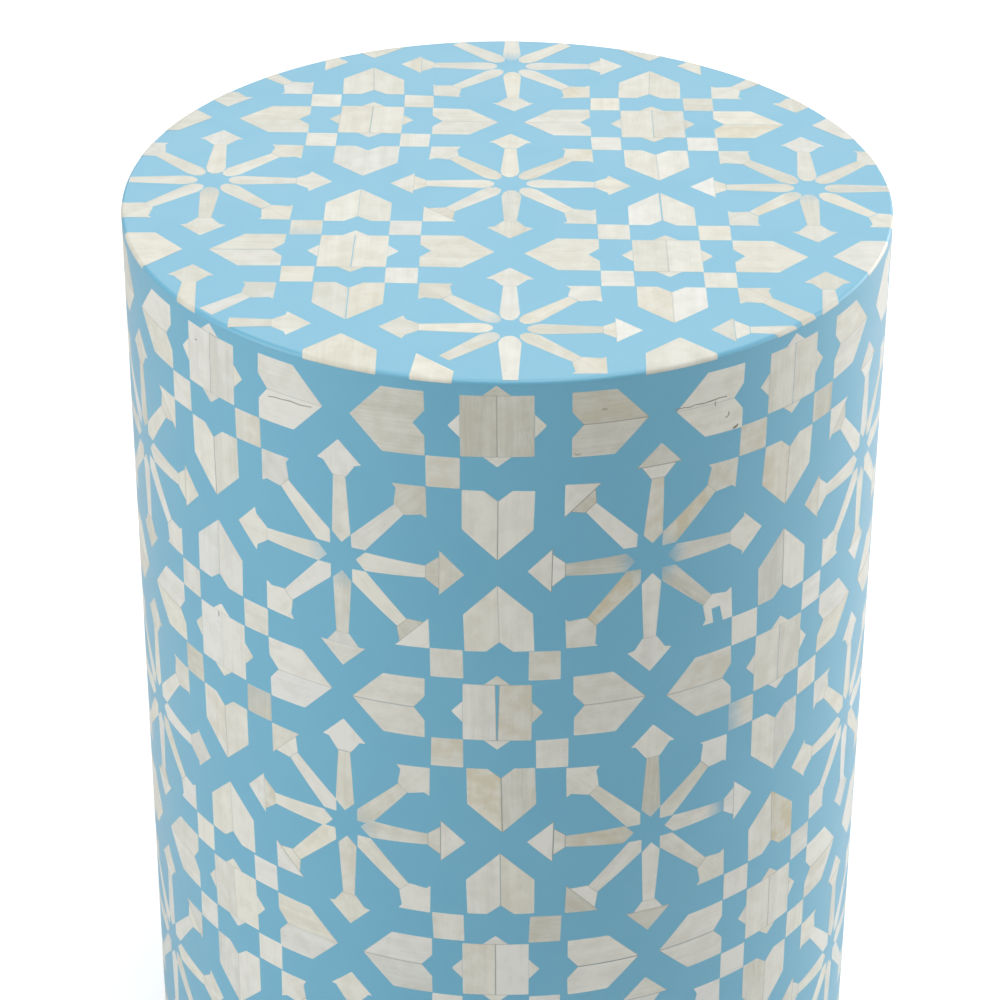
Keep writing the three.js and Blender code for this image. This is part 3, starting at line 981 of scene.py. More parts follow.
# Pits and cracks that the photograph shows in the wall's slips
WALL_FAULTS = (
    Fault(((42.0, 445.0, 0.3), (42.8, 445.2, 0.5), (43.6, 444.9, 0.4), (44.3, 445.2, 0.2)), 0.25),
    Fault(((31.2, 426.0, 0.1), (32.0, 425.3, 0.2), (33.0, 425.2, 0.15), (33.6, 425.9, 0.1)), 0.3),
    Fault(
        (
            (73.2, 439.3, 0.08), (77.0, 439.6, 0.12), (80.1, 439.2, 0.20), (82.4, 439.7, 0.10),
            (86.6, 439.3, 0.16), (90.8, 439.6, 0.24), (94.0, 439.9, 0.12), (97.5, 439.6, 0.18),
        ),
        0.55,
    ),
    Fault(((92.0, 439.0, 0.08), (91.8, 437.6, 0.15), (92.3, 436.6, 0.06)), 0.5),
    Fault(((98.6, 432.3, 0.1), (98.9, 430.9, 0.35), (98, 429.8, 0.25), (97, 430, 0.1)), 0.45),
    Fault(((101.2, 423.5, 0.3), (102.3, 423.9, 0.7), (103.2, 424.4, 0.5), (103.8, 424.9, 0.2))),
    Fault(((-142.2, 446.1, 0.2), (-141.5, 446.0, 0.4), (-140.9, 446.1, 0.2)), 0.7),
    Fault(((-134.1, 317.2, 0.1), (-133.8, 315.9, 0.35), (-134.0, 314.3, 0.1)), 0.55),
    Fault(
        (
            (-99.5, 435.4, 0.08), (-95.9, 436.1, 0.14), (-92.8, 436.2, 0.10),
            (-88.1, 436.7, 0.20), (-83.8, 436.2, 0.16), (-78.0, 436.7, 0.08),
        ),
        0.5,
    ),
)

# A place of the wall where a slip was never laid, and the resin runs on
WALL_MISSING = {(Motif.SQUARE, Spot(0, 3, 7))}

# Arrowheads of the wall whose kind the photograph shows
WALL_HEADS: dict[Spot, Head] = {
    **heads(0.5, 2.5, whole=(0, 1, 5, 6), parted=(2, 3, 4), chipped=(7,)),
    **heads(-0.5, 2.5, whole=(1, 2, 3, 4, 5), parted=(0, 6, 7)),
    **heads(0.5, 1.5, whole=(2, 3), parted=(0, 4, 5, 6)),
    **heads(-0.5, 1.5, whole=(1, 7), parted=(0,)),
}

# Stars of the wall whose seam opens towards the top, and rays of the seat cut by the rim alone
WALL_FLARES = {Spot(0, 2, 0): 0.0050}
SEAT_LONG_RAYS = {Spot(0, -1, 6): 0.3255}
SEAT_SHORT_RAYS = {Spot(-1, -1, 0): 0.150, Spot(-1, -1, 1): 0.118}

# Slips that lie off their motif, in millimetres across and up
WALL_SHIFTS: dict[Laid, Point] = {
    (Motif.RAY, Spot(0.5, 2.5, 3)): (-2.1, 2.1),
    (Motif.SQUARE, Spot(0, 2, 1)): (-2.0, 0.4),
    (Motif.SQUARE, Spot(0, 2, 7)): (1.6, 0.0),
    (Motif.STAR, Spot(0, 2, 0)): (0.0, -1.0),
    (Motif.SHIELD, Spot(0, 2, 4)): (-2.3, -1.0),
    (Motif.SHIELD, Spot(0, 2, 0)): (3.2, 1.0),
    (Motif.SHIELD, Spot(0, 2, 6)): (1.3, 0.0),
    (Motif.SHIELD, Spot(0, 1, 2)): (1.2, 1.7),
    (Motif.SHIELD, Spot(0, 1, 0)): (2.5, 0.0),
    (Motif.RAY, Spot(-0.5, 1.5, 1)): (0.0, -2.3),
    (Motif.RAY, Spot(0.5, 1.5, 4)): (-1.5, 1.0),
}
SEAT_SHIFTS: dict[Laid, Point] = {
    (Motif.RAY, Spot(-1, -1, 0)): (-0.8, 3.0),
    (Motif.RAY, Spot(-1, -1, 1)): (-1.5, 0.0),
    (Motif.RAY, Spot(1, -1, 4)): (2.0, 0.0),
    (Motif.SHIELD, Spot(-0.5, -1.5, 2)): (-1.2, 0.0),
    (Motif.SHIELD, Spot(0.5, -1.5, 2)): (2.2, 0.0),
    (Motif.SHIELD, Spot(1.5, -0.5, 4)): (-1.5, 0.0),
}

# Seams that show resin, by their width
WALL_GAPS = {(Motif.STAR, Spot(0, 2, 0)): 2.5}
SEAT_GAPS = {
    (Motif.SHIELD, Spot(0.5, -0.5, 2)): 4.0,
    (Motif.SHIELD, Spot(-0.5, -0.5, 6)): 1.6,
    (Motif.SHIELD, Spot(-0.5, -0.5, 2)): 0.0,
    (Motif.STAR, Spot(-0.5, -0.5, 0)): 2.6,
}

# Slips that the seat does without: the rim, or resin that ran over them, takes their place
SEAT_MISSING = {
    (Motif.HEAD, Spot(0, -1, 6)),
    (Motif.HEAD, Spot(0, -1, 6, 1)),
    (Motif.HEAD, Spot(0, -1, 5)),
}

# Shields in one slip, or with False in two
WALL_WHOLES: dict[Spot, bool] = {
    Spot(0, 3, 4): True,
    **{Spot(0, 3, eighth): False for eighth in (0, 6)},
    **{
        Spot(column, row, eighth): False
        for column in (-1, 0, 1) for row in (1, 2) for eighth in (0, 2, 4, 6)
    },
    **{Spot(column, 3, eighth): False for column in (-1, 1) for eighth in (0, 4, 6)},
}
SEAT_WHOLES: dict[Spot, bool] = {
    **{
        Spot(column, row, eighth): False
        for column in (-0.5, 0.5) for row in (-0.5, 0.5) for eighth in (0, 2, 4, 6)
    },
    **{
        Spot(*place): True
        for place in (
            (-0.5, 0.5, 6), (-0.5, -0.5, 0), (0.5, -0.5, 0), (0.5, -0.5, 4), (-1.5, 0.5, 0),
            (-1.5, -0.5, 0), (1.5, 0.5, 4), (1.5, -0.5, 4), (-0.5, -1.5, 2), (0.5, -1.5, 2),
            (-0.5, 1.5, 6), (0.5, 1.5, 6),
        )
    },
}

# Arrowheads of the seat whose kind the photograph shows
SEAT_HEADS: dict[Spot, Head] = {
    **heads(0, 0, whole=(0, 1, 2, 3, 6, 7), parted=(4, 5)),
    **heads(0, 1, whole=(1, 2, 3, 5, 6, 7), parted=(0, 4)),
    **heads(0, -1, whole=(1, 2, 3, 4, 6, 7), parted=(0,), stump=(5,)),
    **heads(-1, 0, whole=tuple(range(8))),
    **heads(1, 0, whole=(0, 1, 2, 3, 5, 6, 7), parted=(4,)),
    **heads(-1, -1, whole=tuple(range(8))),
    **heads(1, -1, whole=(0, 1, 2, 3, 5, 6, 7), parted=(4,)),
    **heads(-1, 1, parted=(0,)),
    **heads(1, 1, parted=(4,)),
}

# Slips of the seat that look unlike their neighbours, in the same rows
SEAT_BONES: dict[Laid, Bone] = {
    **bones(Motif.RAY, {
        (0, -1, 5): (0.8, 0.15, 0.2, 0.1, 41, 0.1), (0, -1, 6): (0.4, 0, 0, 0, 42, 0.1),
        (-1, 0, 6): (1, 0.1, 0.3, 0.2, 48, 0.2), (1, 0, 6): (0.9, 0.1, 0.3, 0.3, 49, 0.2),
        (1, 0, 5): (0.7, 0.4, 0.2, 0, 50, 0.2),
    }),
    **bones(Motif.HEAD, {
        (0, -1, 5, 1): (0.4, 0.1, 0, 0, 43, 0.1, 0.9),
        (0, -1, 0): (0.65, 0.15, 0, 0, 44, 0.2, 0.8), (0, -1, 0, 1): (0.3, 0, 0, 0, 45, 0.2, 0.3),
        (1, 0, 4): (0.75, 0.1, 0, 0, 46, 0.2, 0.8), (1, 0, 4, 1): (0.3, 0, 0, 0, 47, 0.2, 0.2),
        (0, 0, 5): (0.85, 0.35, 0, 0.1, 51, 0.3), (0, 0, 5, 1): (0.55, 0.1, 0, 0, 52, 0.3),
        (0, 0, 4): (0.8, 0.1, 0, 0, 53, 0.2, 0.8),
    }),
    **bones(Motif.SQUARE, {
        (-0.5, -0.5, 3): (0.85, 0.15, 0.3, 0.1, 54),
    }),
    **bones(Motif.SHIELD, {
        (0.5, -0.5, 6, 1): (0.7, 0.25, 0, 0, 55, 0.3, 0.8),
        (0.5, -0.5, 6): (0.35, 0, 0, 0, 56, 0.3, 0.3),
        (0.5, -0.5, 2): (0.4, 0, 0, 0, 59, 0.3, 0.3),
        (0.5, -0.5, 2, 1): (0.55, 0.05, 0, 0, 60, 0.3),
        (-0.5, 0.5, 2): (0.65, 0.05, 0, 0, 63, 0.4), (-0.5, 0.5, 2, 1): (0.75, 0.1, 0, 0, 64, 0.4),
    }),
    **bones(Motif.STAR, {
        (-0.5, -0.5, 0): (0.63, 0.05, 0, 0, 65, 0.1, 0.8),
        (-0.5, -0.5, 0, 1): (0.67, 0.05, 0, 0, 66, 0.1, 0.8),
        (-0.5, 0.5, 0): (0.6, 0.05, 0, 0, 61, 0.5, 0.7),
        (-0.5, 0.5, 0, 1): (0.75, 0.15, 0, 0, 62, 0.5, 0.8),
        (0.5, -0.5, 0, 1): (0.8, 0.1, 0, 0, 57, 0.4), (0.5, -0.5, 0): (0.55, 0.05, 0, 0, 58, 0.4),
    }),
}

# How far the motifs in the photograph lie off their grid
WALL_DRIFT = Drift(
    (
        ((0, 3), (0.1, 2.6)), ((0.33, 3), (2.4, 1.9)), ((-0.33, 3), (-1.0, 1.9)),
        ((0, 2), (1.2, 2.2)), ((0, 1), (1.0, 1.0)), ((-0.5, 2.5), (0.0, 0.5)),
        ((-0.5, 1.5), (-0.3, 1.6)), ((0.5, 2.5), (-1.0, 2.6)), ((0.5, 1.5), (2.8, 0.3)),
        ((-1, 3), (-0.9, 1.7)), ((-1, 2), (-0.5, 2.2)), ((-1, 1), (1.0, 3.9)),
        ((1, 3), (3.0, 0.8)), ((1, 2), (2.7, 0.4)), ((1, 1), (5.0, 1.4)),
    )
)
SEAT_DRIFT = Drift(
    (
        ((0, 0), (0.1, 3.5)), ((-1, 0), (0.4, 4.8)), ((1, 0), (-0.3, 1.4)),
        ((0, 1), (-0.4, -1.3)), ((0, -1), (0.4, 0.4)), ((-0.5, 0.5), (2.0, 3.1)),
        ((-0.5, -0.5), (-0.4, 3.4)), ((0.5, 0.5), (-1.4, 1.2)), ((0.5, -0.5), (0.9, 1.2)),
        ((0.27, -1.27), (2.3, -0.9)), ((0.5, -1.1), (2.4, 0.2)), ((-0.5, -1.1), (0.0, 0.2)),
        ((-0.75, -1.0), (-1.9, 0.3)), ((-0.74, -0.74), (-2.4, 2.2)), ((0.74, -0.74), (2.2, 0.0)),
    )
)


# The range of the seeds, which set the grains of the slips apart
SEEDS = (0, 90)


@dataclass(frozen=True)
class Stock:
    """How much the slips that one side was made from differ.

    tone and warm are means and spreads, stain is a spread and ash the most. seams are the
    joints to draw from, and squares is how much whiter than the rest the small squares are.
    veiled is the share of rays with a veil, and veils how strong it is. A draw from 0 to 1
    makes a few slips odd: under greyed greyer by odd_change, over stained more stained by
    it, and under ashen with ash up to odd_ash.
    """

    tone: Point = (0.18, 0.18)
    warm: Point = (0.50, 0.26)
    stain: float = 0.12
    ash: float = 0.20
    veiled: float = 0.06
    seams: tuple[float, ...] = (0.15, 0.30, 0.50, 0.85)
    squares: float = 0.0
    veils: Point = (0.2, 0.8)
    greyed: float = 0.08
    stained: float = 0.96
    odd_change: float = 0.3
    ashen: float = 0.10
    odd_ash: float = 0.7


@dataclass
class Inlay:
    """The bone slips of one side of the drum, drawn, cut by hand and let in.

    heads and wholes say which arrowheads and shields are of which kind, gaps how wide a
    seam is, and bones what a slip looks like, where it isn't left to chance. Of the rest,
    part_heads is the share of arrowheads in two slips and whole_shields that of shields in
    one. long_rays and short_rays end or start elsewhere than the others. Each motif lies
    motif_sink lower than the one before, and every second slip of it odd_sink lower.
    """

    drum: DrumSizes
    pattern: Pattern
    hand: HandCut
    stock: Stock
    seed: int
    heads: dict[Spot, Head] = field(default_factory=dict)
    flares: dict[Spot, float] = field(default_factory=dict)
    long_rays: dict[Spot, float] = field(default_factory=dict)
    short_rays: dict[Spot, float] = field(default_factory=dict)
    shifts: dict[Laid, Point] = field(default_factory=dict)
    gaps: dict[Laid, float] = field(default_factory=dict)
    wholes: dict[Spot, bool] = field(default_factory=dict)
    bones: dict[Laid, Bone] = field(default_factory=dict)
    part_heads: float = 0.30
    whole_shields: float = 0.16
    motif_sink: float = 0.008
    odd_sink: float = 0.004
    layers: dict[Motif, SlipLayer] = field(init=False)
    rng: random.Random = field(init=False)

    def __post_init__(self) -> None:
        """Starts a layer for each motif and this side's own draws."""
        self.layers = {motif: SlipLayer(self.drum) for motif in Motif}
        self.rng = random.Random(self.seed)

    def bone_for(self, motif: Motif, spot: Spot) -> Bone:
        """The look of the slip at a spot of the pattern."""
        stock, rng = self.stock, self.rng
        odd, veil = rng.random(), rng.uniform(*stock.veils) if rng.random() < stock.veiled else 0.0
        stain = abs(rng.gauss(0.0, stock.stain)) + stock.odd_change * (odd > stock.stained)
        tone = rng.gauss(*stock.tone) + stock.odd_change * (odd < stock.greyed)
        tone -= stock.squares * (motif is Motif.SQUARE)
        fine = {Motif.POINT: 0.5, Motif.RAY: 0.5, Motif.HEAD: 0.7}.get(motif, 1.0)
        drawn = Bone(
            tone=min(1.0, max(0.0, tone)),
            stain=min(1.0, stain),
            veil=veil if motif is Motif.RAY else 0.0,
            ash=rng.random() * (stock.odd_ash if odd < stock.ashen else stock.ash),
            seed=rng.uniform(*SEEDS),
            seam=rng.choice(stock.seams) * fine,
            warm=min(1.0, max(0.0, rng.gauss(*stock.warm))),
        )
        return self.bones.get((motif, spot), drawn)

    def sink_of(self, slip: Slip, spot: Spot) -> float:
        """How far a slip lies under the highest ones, so that no two that meet are level."""
        odd = (spot.part + spot.eighth) % 2
        return self.motif_sink * list(Motif).index(slip.motif) + self.odd_sink * odd

    def gap_of(self, motif: Motif, spot: Spot, usual: tuple[float, ...]) -> float:
        """Half the width of the seam between two halves, in pitches."""
        share = self.rng.choice(usual)
        return self.gaps.get((motif, spot), share) * self.pattern.seam + self.pattern.joint

    def group(self, spot: Spot) -> Iterator[tuple[Slip, Spot]]:
        """The slips of one star with its points, squares and shields.

        Args:
            spot: The star's place.

        Yields:
            Each slip in pitches, as drawn, and its own spot.
        """
        gap = self.gap_of(Motif.STAR, spot, (0.0, 0.2, 0.5, 1.0))
        flare = self.flares.get(spot, 0.0)
        for part, slip in enumerate(self.pattern.star(gap, flare)):
            yield slip, replace(spot, eighth=0, part=part)
        for eighth in (0, 2, 4, 6):
            own = replace(spot, eighth=eighth)
            yield self.pattern.point(), own
            yield self.pattern.square(), replace(spot, eighth=eighth + 1)
            gap = self.gap_of(Motif.SHIELD, own, (0.0, 0.2, 0.6))
            whole = self.rng.random() < self.whole_shields
            slips = self.pattern.shield(gap, self.wholes.get(own, whole))
            for part, slip in enumerate(slips):
                yield slip, replace(own, part=part)

    def rosette(self, spot: Spot) -> Iterator[tuple[Slip, Spot]]:
        """The slips of one rosette of eight arrows, as group() gives them."""
        for eighth in range(8):
            own = replace(spot, eighth=eighth)
            yield self.pattern.ray(self.long_rays.get(own), self.short_rays.get(own, 0.0)), own
            form = Head.PARTED if self.rng.random() < self.part_heads else Head.WHOLE
            slips = self.pattern.head(self.heads.get(own, form), self.rng.random())
            for part, slip in enumerate(slips):
                yield slip, replace(own, part=part)

    def unit(self, slip: Slip, spot: Spot) -> Laid:
        """What a slip is laid together with: its star, its arrow, or its own other half."""
        whole = {Motif.HEAD: Motif.RAY, Motif.POINT: Motif.STAR}.get(slip.motif, slip.motif)
        return whole, replace(spot, part=0, eighth=0 if whole is Motif.STAR else spot.eighth)

    def strays(self, slips: list[tuple[Slip, Spot]]) -> dict[Laid, Stray]:
        """An error for each unit among some slips."""
        units = dict.fromkeys(self.unit(slip, spot) for slip, spot in slips)
        found = {}
        for unit in units:
            stray, (across, up) = self.hand.stray(self.rng), self.shifts.get(unit, (0.0, 0.0))
            found[unit] = replace(stray, across=stray.across + across, up=stray.up + up)
        return found

    def placed(self, slip: Slip, spot: Spot, scale: Point, layout: Layout) -> Slip:
        """The slip with its look, turned and laid. A square is drawn at its corner already.

        Args:
            slip: The slip as drawn.
            spot: Its own spot.
            scale: Millimetres to a pitch inside the motif, across and up.
            layout: Where the motifs come to lie.

        Returns:
            The slip with its outline in millimetres.
        """
        eighth = spot.eighth - 1 if slip.motif is Motif.SQUARE else spot.eighth
        dressed = replace(slip, bone=self.bone_for(slip.motif, spot))
        return dressed.moved(eighth * QUARTER / 2, (spot.column, spot.row), scale, layout)

    def dress(self, side: str, material: Material, filler: Material, nodes: list[str]) -> None:
        """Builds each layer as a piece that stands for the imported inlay.

        Args:
            side: The side's name, which starts each piece's name.
            material: The bone finish.
            filler: The finish of the filled pits.
            nodes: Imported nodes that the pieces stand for.
        """
        for motif, layer in self.layers.items():
            if not layer.faces:
                continue
            finish = filler if motif is Motif.FILL else material
            piece = layer.build(f"{side}_{motif.value}", finish)
            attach(piece, BODY)
            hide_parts(*nodes)
            LOG.info("%s: %d faces", piece.name, len(piece.data.polygons))


@dataclass
class WallInlay(Inlay):
    """The inlay of the wall: rows of stars with rosettes between them.

    star_height is the height of a star as a share of its width, and fill_rise how far a
    filled pit stands over the highest slips. foot_margin stays free of slips, and rim_overlap
    of the rim's rounding doesn't.
    """

    star_height: float = 0.97
    fill_rise: float = 0.012
    foot_margin: float = 1.0
    rim_overlap: float = 0.5

    def lay(self) -> None:
        """Lays every slip that fits between the plain borders."""
        drum, surface = self.drum, WallSurface(self.drum)
        row_pitch = drum.row_pitch(self.pattern.star_tip)
        lowest = drum.glide_height + drum.wall_border + self.pattern.star_tip * row_pitch
        layout = Layout((drum.wall_pitch, row_pitch), (0.0, lowest), WALL_DRIFT)
        low = drum.glide_height + self.foot_margin
        high = drum.height - drum.rim_round + self.rim_overlap
        for row in range(drum.star_rows):
            for column in range(drum.wall_repeats):
                signed = column if column < drum.wall_repeats / 2 else column - drum.wall_repeats
                slips = list(self.group(Spot(signed, row, 0)))
                if row < drum.star_rows - 1:
                    slips += self.rosette(Spot(signed + 0.5, row + 0.5, 0))
                strays = self.strays(slips)
                for slip, spot in slips:
                    starry = slip.motif in (Motif.STAR, Motif.POINT)
                    upright = drum.wall_pitch * self.star_height if starry else row_pitch
                    placed = self.placed(slip, spot, (drum.wall_pitch, upright), layout)
                    if (slip.motif, spot) in WALL_MISSING:
                        continue
                    if all(low < up < high for _, up in placed.outline):
                        laid = self.hand.applied(placed, strays[self.unit(slip, spot)], self.rng)
                        sink = self.sink_of(slip, spot)
                        self.layers[slip.motif].lay(turned_for_veil(laid), surface, sink)
        for fault in WALL_FAULTS:
            outline = fault.outline(self.rng)
            bone = Bone(tone=fault.dark, seed=self.rng.uniform(*SEEDS))
            pit = Slip(Motif.FILL, outline, root=outline[0], bone=bone)
            self.layers[Motif.FILL].lay(pit, surface, -self.fill_rise)


@dataclass
class SeatInlay(Inlay):
    """The inlay of the seat: the same slips, cut where the rim meets them.

    Of a cut slip at least smallest is left, in square millimetres, as samples rows and
    columns of points measure it. Slips that stay flat_margin off the rounding are flat.
    """

    smallest: float = 42.0
    samples: int = 24
    flat_margin: float = 0.5

    def lay(self) -> None:
        """Lays every slip of the seat, bent over the rim where it reaches it."""
        drum = self.drum
        flat, rim = SeatSurface(drum), RimSurface(drum)
        pitch = (drum.seat_pitch, drum.seat_pitch)
        layout = Layout(pitch, tuple(share * pitch[0] for share in drum.seat_middle), SEAT_DRIFT)
        reach = math.ceil(drum.radius / drum.seat_pitch) + 1
        flat_radius = drum.radius - drum.rim_round - self.flat_margin
        for row in range(-reach, reach + 1):
            for column in range(-reach, reach + 1):
                slips = list(self.rosette(Spot(column, row, 0)))
                slips += self.group(Spot(column + 0.5, row + 0.5, 0))
                strays = self.strays(slips)
                for slip, spot in slips:
                    placed = self.placed(slip, spot, pitch, layout)
                    if (slip.motif, spot) in SEAT_MISSING:
                        continue
                    laid = self.hand.applied(placed, strays[self.unit(slip, spot)], self.rng)
                    outs = [math.hypot(*point) for point in laid.outline]
                    sink = self.sink_of(slip, spot)
                    if max(outs) < flat_radius:
                        self.layers[slip.motif].lay(laid, flat, sink)
                    elif self.left_on_seat(laid) > self.smallest:
                        self.layers[slip.motif].lay(laid, rim, sink)

    def left_on_seat(self, slip: Slip) -> float:
        """Square millimetres of a slip that lie inside the rim."""
        low = [min(point[axis] for point in slip.outline) for axis in (0, 1)]
        high = [max(point[axis] for point in slip.outline) for axis in (0, 1)]
        count, inside = self.samples, 0
        for column in range(count):
            for row in range(count):
                x = low[0] + (high[0] - low[0]) * (column + 0.5) / count
                y = low[1] + (high[1] - low[1]) * (row + 0.5) / count
                inside += math.hypot(x, y) < self.drum.radius and holds(slip.outline, x, y)
        return inside * (high[0] - low[0]) * (high[1] - low[1]) / count**2


def holds(outline: tuple[Point, ...], x: float, y: float) -> bool:
    """Whether an outline holds a point."""
    inside = False
    for index, (x1, y1) in enumerate(outline):
        x2, y2 = outline[index - 1]
        if (y1 > y) != (y2 > y) and x < (x2 - x1) * (y - y1) / (y2 - y1) + x1:
            inside = not inside
    return inside


def turned_for_veil(slip: Slip) -> Slip:
    """The slip measured from its far end, if that is where resin runs over it."""
    if not slip.bone.far_veil:
        return slip
    sine, cosine = math.sin(slip.grain), math.cos(slip.grain)
    far = max(slip.outline, key=lambda point: point[0] * cosine + point[1] * sine)
    return replace(slip, root=far, grain=slip.grain + math.pi)


@dataclass
class ResinSkin:
    """The poured resin of the seat and of the wall, sanded flush with the bone.

    steps go round it, round_rows over a rounding and wall_rows up the wall. Rings at support
    and at margin beside a rounding keep its shading off the flat parts. The two skins meet at
    joint_drop under the seat, and edges over the angle sharp are sharp.
    """

    drum: DrumSizes
    steps: int = 288
    round_rows: int = 8
    wall_rows: int = 12
    joint_drop: float = 3.0
    support: float = 0.3
    margin: float = 2.0
    sharp: float = math.radians(50)

    def arc(self, across: float, up: float, size: float, start: float) -> list[Point]:
        """A quarter round of a profile.

        Args:
            across: Distance of its middle from the axis.
            up: Height of its middle.
            size: Its radius.
            start: Angle at which it starts, and from which it turns clockwise.

        Returns:
            Its points.
        """
        angles = [start - QUARTER * row / self.round_rows for row in range(self.round_rows + 1)]
        return [(across + size * math.cos(a), up + size * math.sin(a)) for a in angles]

    def turned(self, name: str, profile: list[Point], material: Material) -> bpy.types.Object:
        """A closed profile turned round the axis.

        Args:
            name: Name of the piece.
            profile: Points of distance from the axis and height, clockwise.
            material: Its finish.

        Returns:
            The new object.
        """
        points: list[Vector] = []
        rings: list[list[int]] = []
        for out, up in profile:
            steps = self.steps if out else 1
            rings.append(list(range(len(points), len(points) + steps)))
            for step in range(steps):
                angle = 2 * math.pi * step / steps
                points.append(Vector((out * math.sin(angle), -out * math.cos(angle), up)) * MM)
        faces = []
        for index, ring in enumerate(rings):
            below = rings[(index + 1) % len(rings)]
            if len(ring) == len(below) == 1:
                continue
            for step in range(self.steps):
                after = (step + 1) % self.steps
                face = [ring[step % len(ring)], below[step % len(below)],
                        below[after % len(below)], ring[after % len(ring)]]
                faces.append(list(dict.fromkeys(face)))
        mesh = bpy.data.meshes.new(name)
        mesh.from_pydata(points, [], faces)
        mesh.polygons.foreach_set("use_smooth", [True] * len(mesh.polygons))
        mesh.set_sharp_from_angle(angle=self.sharp)
        return new_object(name, mesh, material)

    def build(self, material: Material) -> None:
        """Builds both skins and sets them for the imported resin.

        Args:
            material: The resin finish.
        """
        drum = self.drum
        top, out = drum.height - drum.skin_drop, drum.radius - drum.skin_drop
        rim, foot = drum.rim_round, drum.foot_round
        joint = drum.height - self.joint_drop
        rise = joint - drum.glide_height
        seat = [
            (0.0, top),
            (out / 2, top),
            (out - rim - self.margin, top),
            (out - rim - self.support, top),
            *self.arc(out - rim, top - rim, rim, QUARTER),
            (out, top - rim - self.support),
            (out, joint),
            (drum.wall_bed_radius, joint),
            (drum.wall_bed_radius, drum.seat_bed),
            (0.0, drum.seat_bed),
        ]
        wall = [
            (out, joint),
            (out, joint - self.support),
            *[(out, joint - rise * row / self.wall_rows) for row in range(1, self.wall_rows)],
            (out, drum.glide_height + foot + self.support),
            *self.arc(out - foot, drum.glide_height + foot, foot, 0.0),
            (out - foot - self.support, drum.glide_height),
            (drum.wall_bed_radius, drum.glide_height),
            (drum.wall_bed_radius, joint),
        ]
        for node, profile in (("seat_resin", seat), ("wall_resin", wall)):
            piece = self.turned(f"{node}_skin", profile, material)
            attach(piece, BODY)
            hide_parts(node)
            LOG.info("%s: %d faces", piece.name, len(piece.data.polygons))


# Shader tools


class Nodes:
    """A node tree with short calls for the nodes that the finishes use."""

    def __init__(self, tree: bpy.types.NodeTree) -> None:
        """Works on a tree, from which the default nodes are already gone."""
        self.tree = tree

    def add(self, kind: str, **settings: object) -> bpy.types.Node:
        """A new node with its settings."""
        node = self.tree.nodes.new(kind)
        for name, value in settings.items():
            setattr(node, name, value)
        return node

    def feed(self, socket: Socket, value: object) -> None:
        """Links an output to a socket, or sets the socket to a number or colour."""
        if isinstance(value, Socket):
            self.tree.links.new(value, socket)
        else:
            socket.default_value = value

    def put(self, node: bpy.types.Node, **values: object) -> bpy.types.Node:
        """Feeds a node's inputs by name. Underscores stand for spaces in a name."""
        for name, value in values.items():
            self.feed(node.inputs[name.replace("_", " ")], value)
        return node

    def math(self, kind: str, *values: object, clamp: bool = False) -> Socket:
        """The result of a Math node."""
        node = self.add("ShaderNodeMath", operation=kind, use_clamp=clamp)
        for socket, value in zip(node.inputs, values):
            self.feed(socket, value)
        return node.outputs[0]

    def times(self, *values: object, clamp: bool = False) -> Socket:
        """The product of two numbers."""
        return self.math("MULTIPLY", *values, clamp=clamp)

    def plus(self, *values: object, clamp: bool = False) -> Socket:
        """The sum of two numbers."""
        return self.math("ADD", *values, clamp=clamp)

    def minus(self, *values: object) -> Socket:
        """One number less another."""
        return self.math("SUBTRACT", *values)

    def stretch(self, vector: object, shares: tuple[float, ...]) -> Socket:
        """A vector with each number multiplied by its own share."""
        node = self.add("ShaderNodeVectorMath", operation="MULTIPLY")
        self.feed(node.inputs[0], vector)
        self.feed(node.inputs[1], shares)
        return node.outputs[0]

    def mix(self, factor: object, first: object, second: object) -> Socket:
        """A colour between two colours."""
        node = self.add("ShaderNodeMix", data_type="RGBA")
        for index, value in ((0, factor), (6, first), (7, second)):
            self.feed(node.inputs[index], value)
        return node.outputs[2]

    def split(self, vector: object) -> list[Socket]:
        """The three numbers of a vector."""
        return list(self.put(self.add("ShaderNodeSeparateXYZ"), Vector=vector).outputs)

    def join(self, x: object, y: object, z: object) -> Socket:
        """A vector of three numbers."""
        return self.put(self.add("ShaderNodeCombineXYZ"), X=x, Y=y, Z=z).outputs[0]

    def noise(self, vector: object, scale: object, detail: float = 3.0,
              rough: float = 0.55) -> Socket:
        """Soft noise from 0 to 1."""
        node = self.add("ShaderNodeTexNoise")
        self.put(node, Vector=vector, Scale=scale, Detail=detail, Roughness=rough)
        return node.outputs[0]

    def cells(self, vector: object, scale: object) -> Socket:
        """Distance from the nearest of scattered points."""
        node = self.add("ShaderNodeTexVoronoi", feature="F1")
        return self.put(node, Vector=vector, Scale=scale).outputs["Distance"]

    def ramp(self, value: object, low: object, high: object, start: float = 0.0,
             end: float = 1.0) -> Socket:
        """A value moved smoothly from one range to another, and held inside it."""
        node = self.add("ShaderNodeMapRange", interpolation_type="SMOOTHSTEP")
        for socket, number in zip(node.inputs, (value, low, high, start, end)):
            self.feed(socket, number)
        return node.outputs[0]

    def group(self, effect: type[Effect], **values: object) -> bpy.types.NodeOutputs:
        """The results of a shared effect for its own values."""
        return self.put(self.add("ShaderNodeGroup", node_tree=effect().tree()), **values).outputs

    def object_place(self) -> Socket:
        """The place on the object, in metres."""
        return self.add("ShaderNodeTexCoord").outputs["Object"]

    def slip_value(self, name: str) -> Socket:
        """What each slip carries in one of its attributes."""
        return self.add("ShaderNodeAttribute", attribute_name=name).outputs["Vector"]


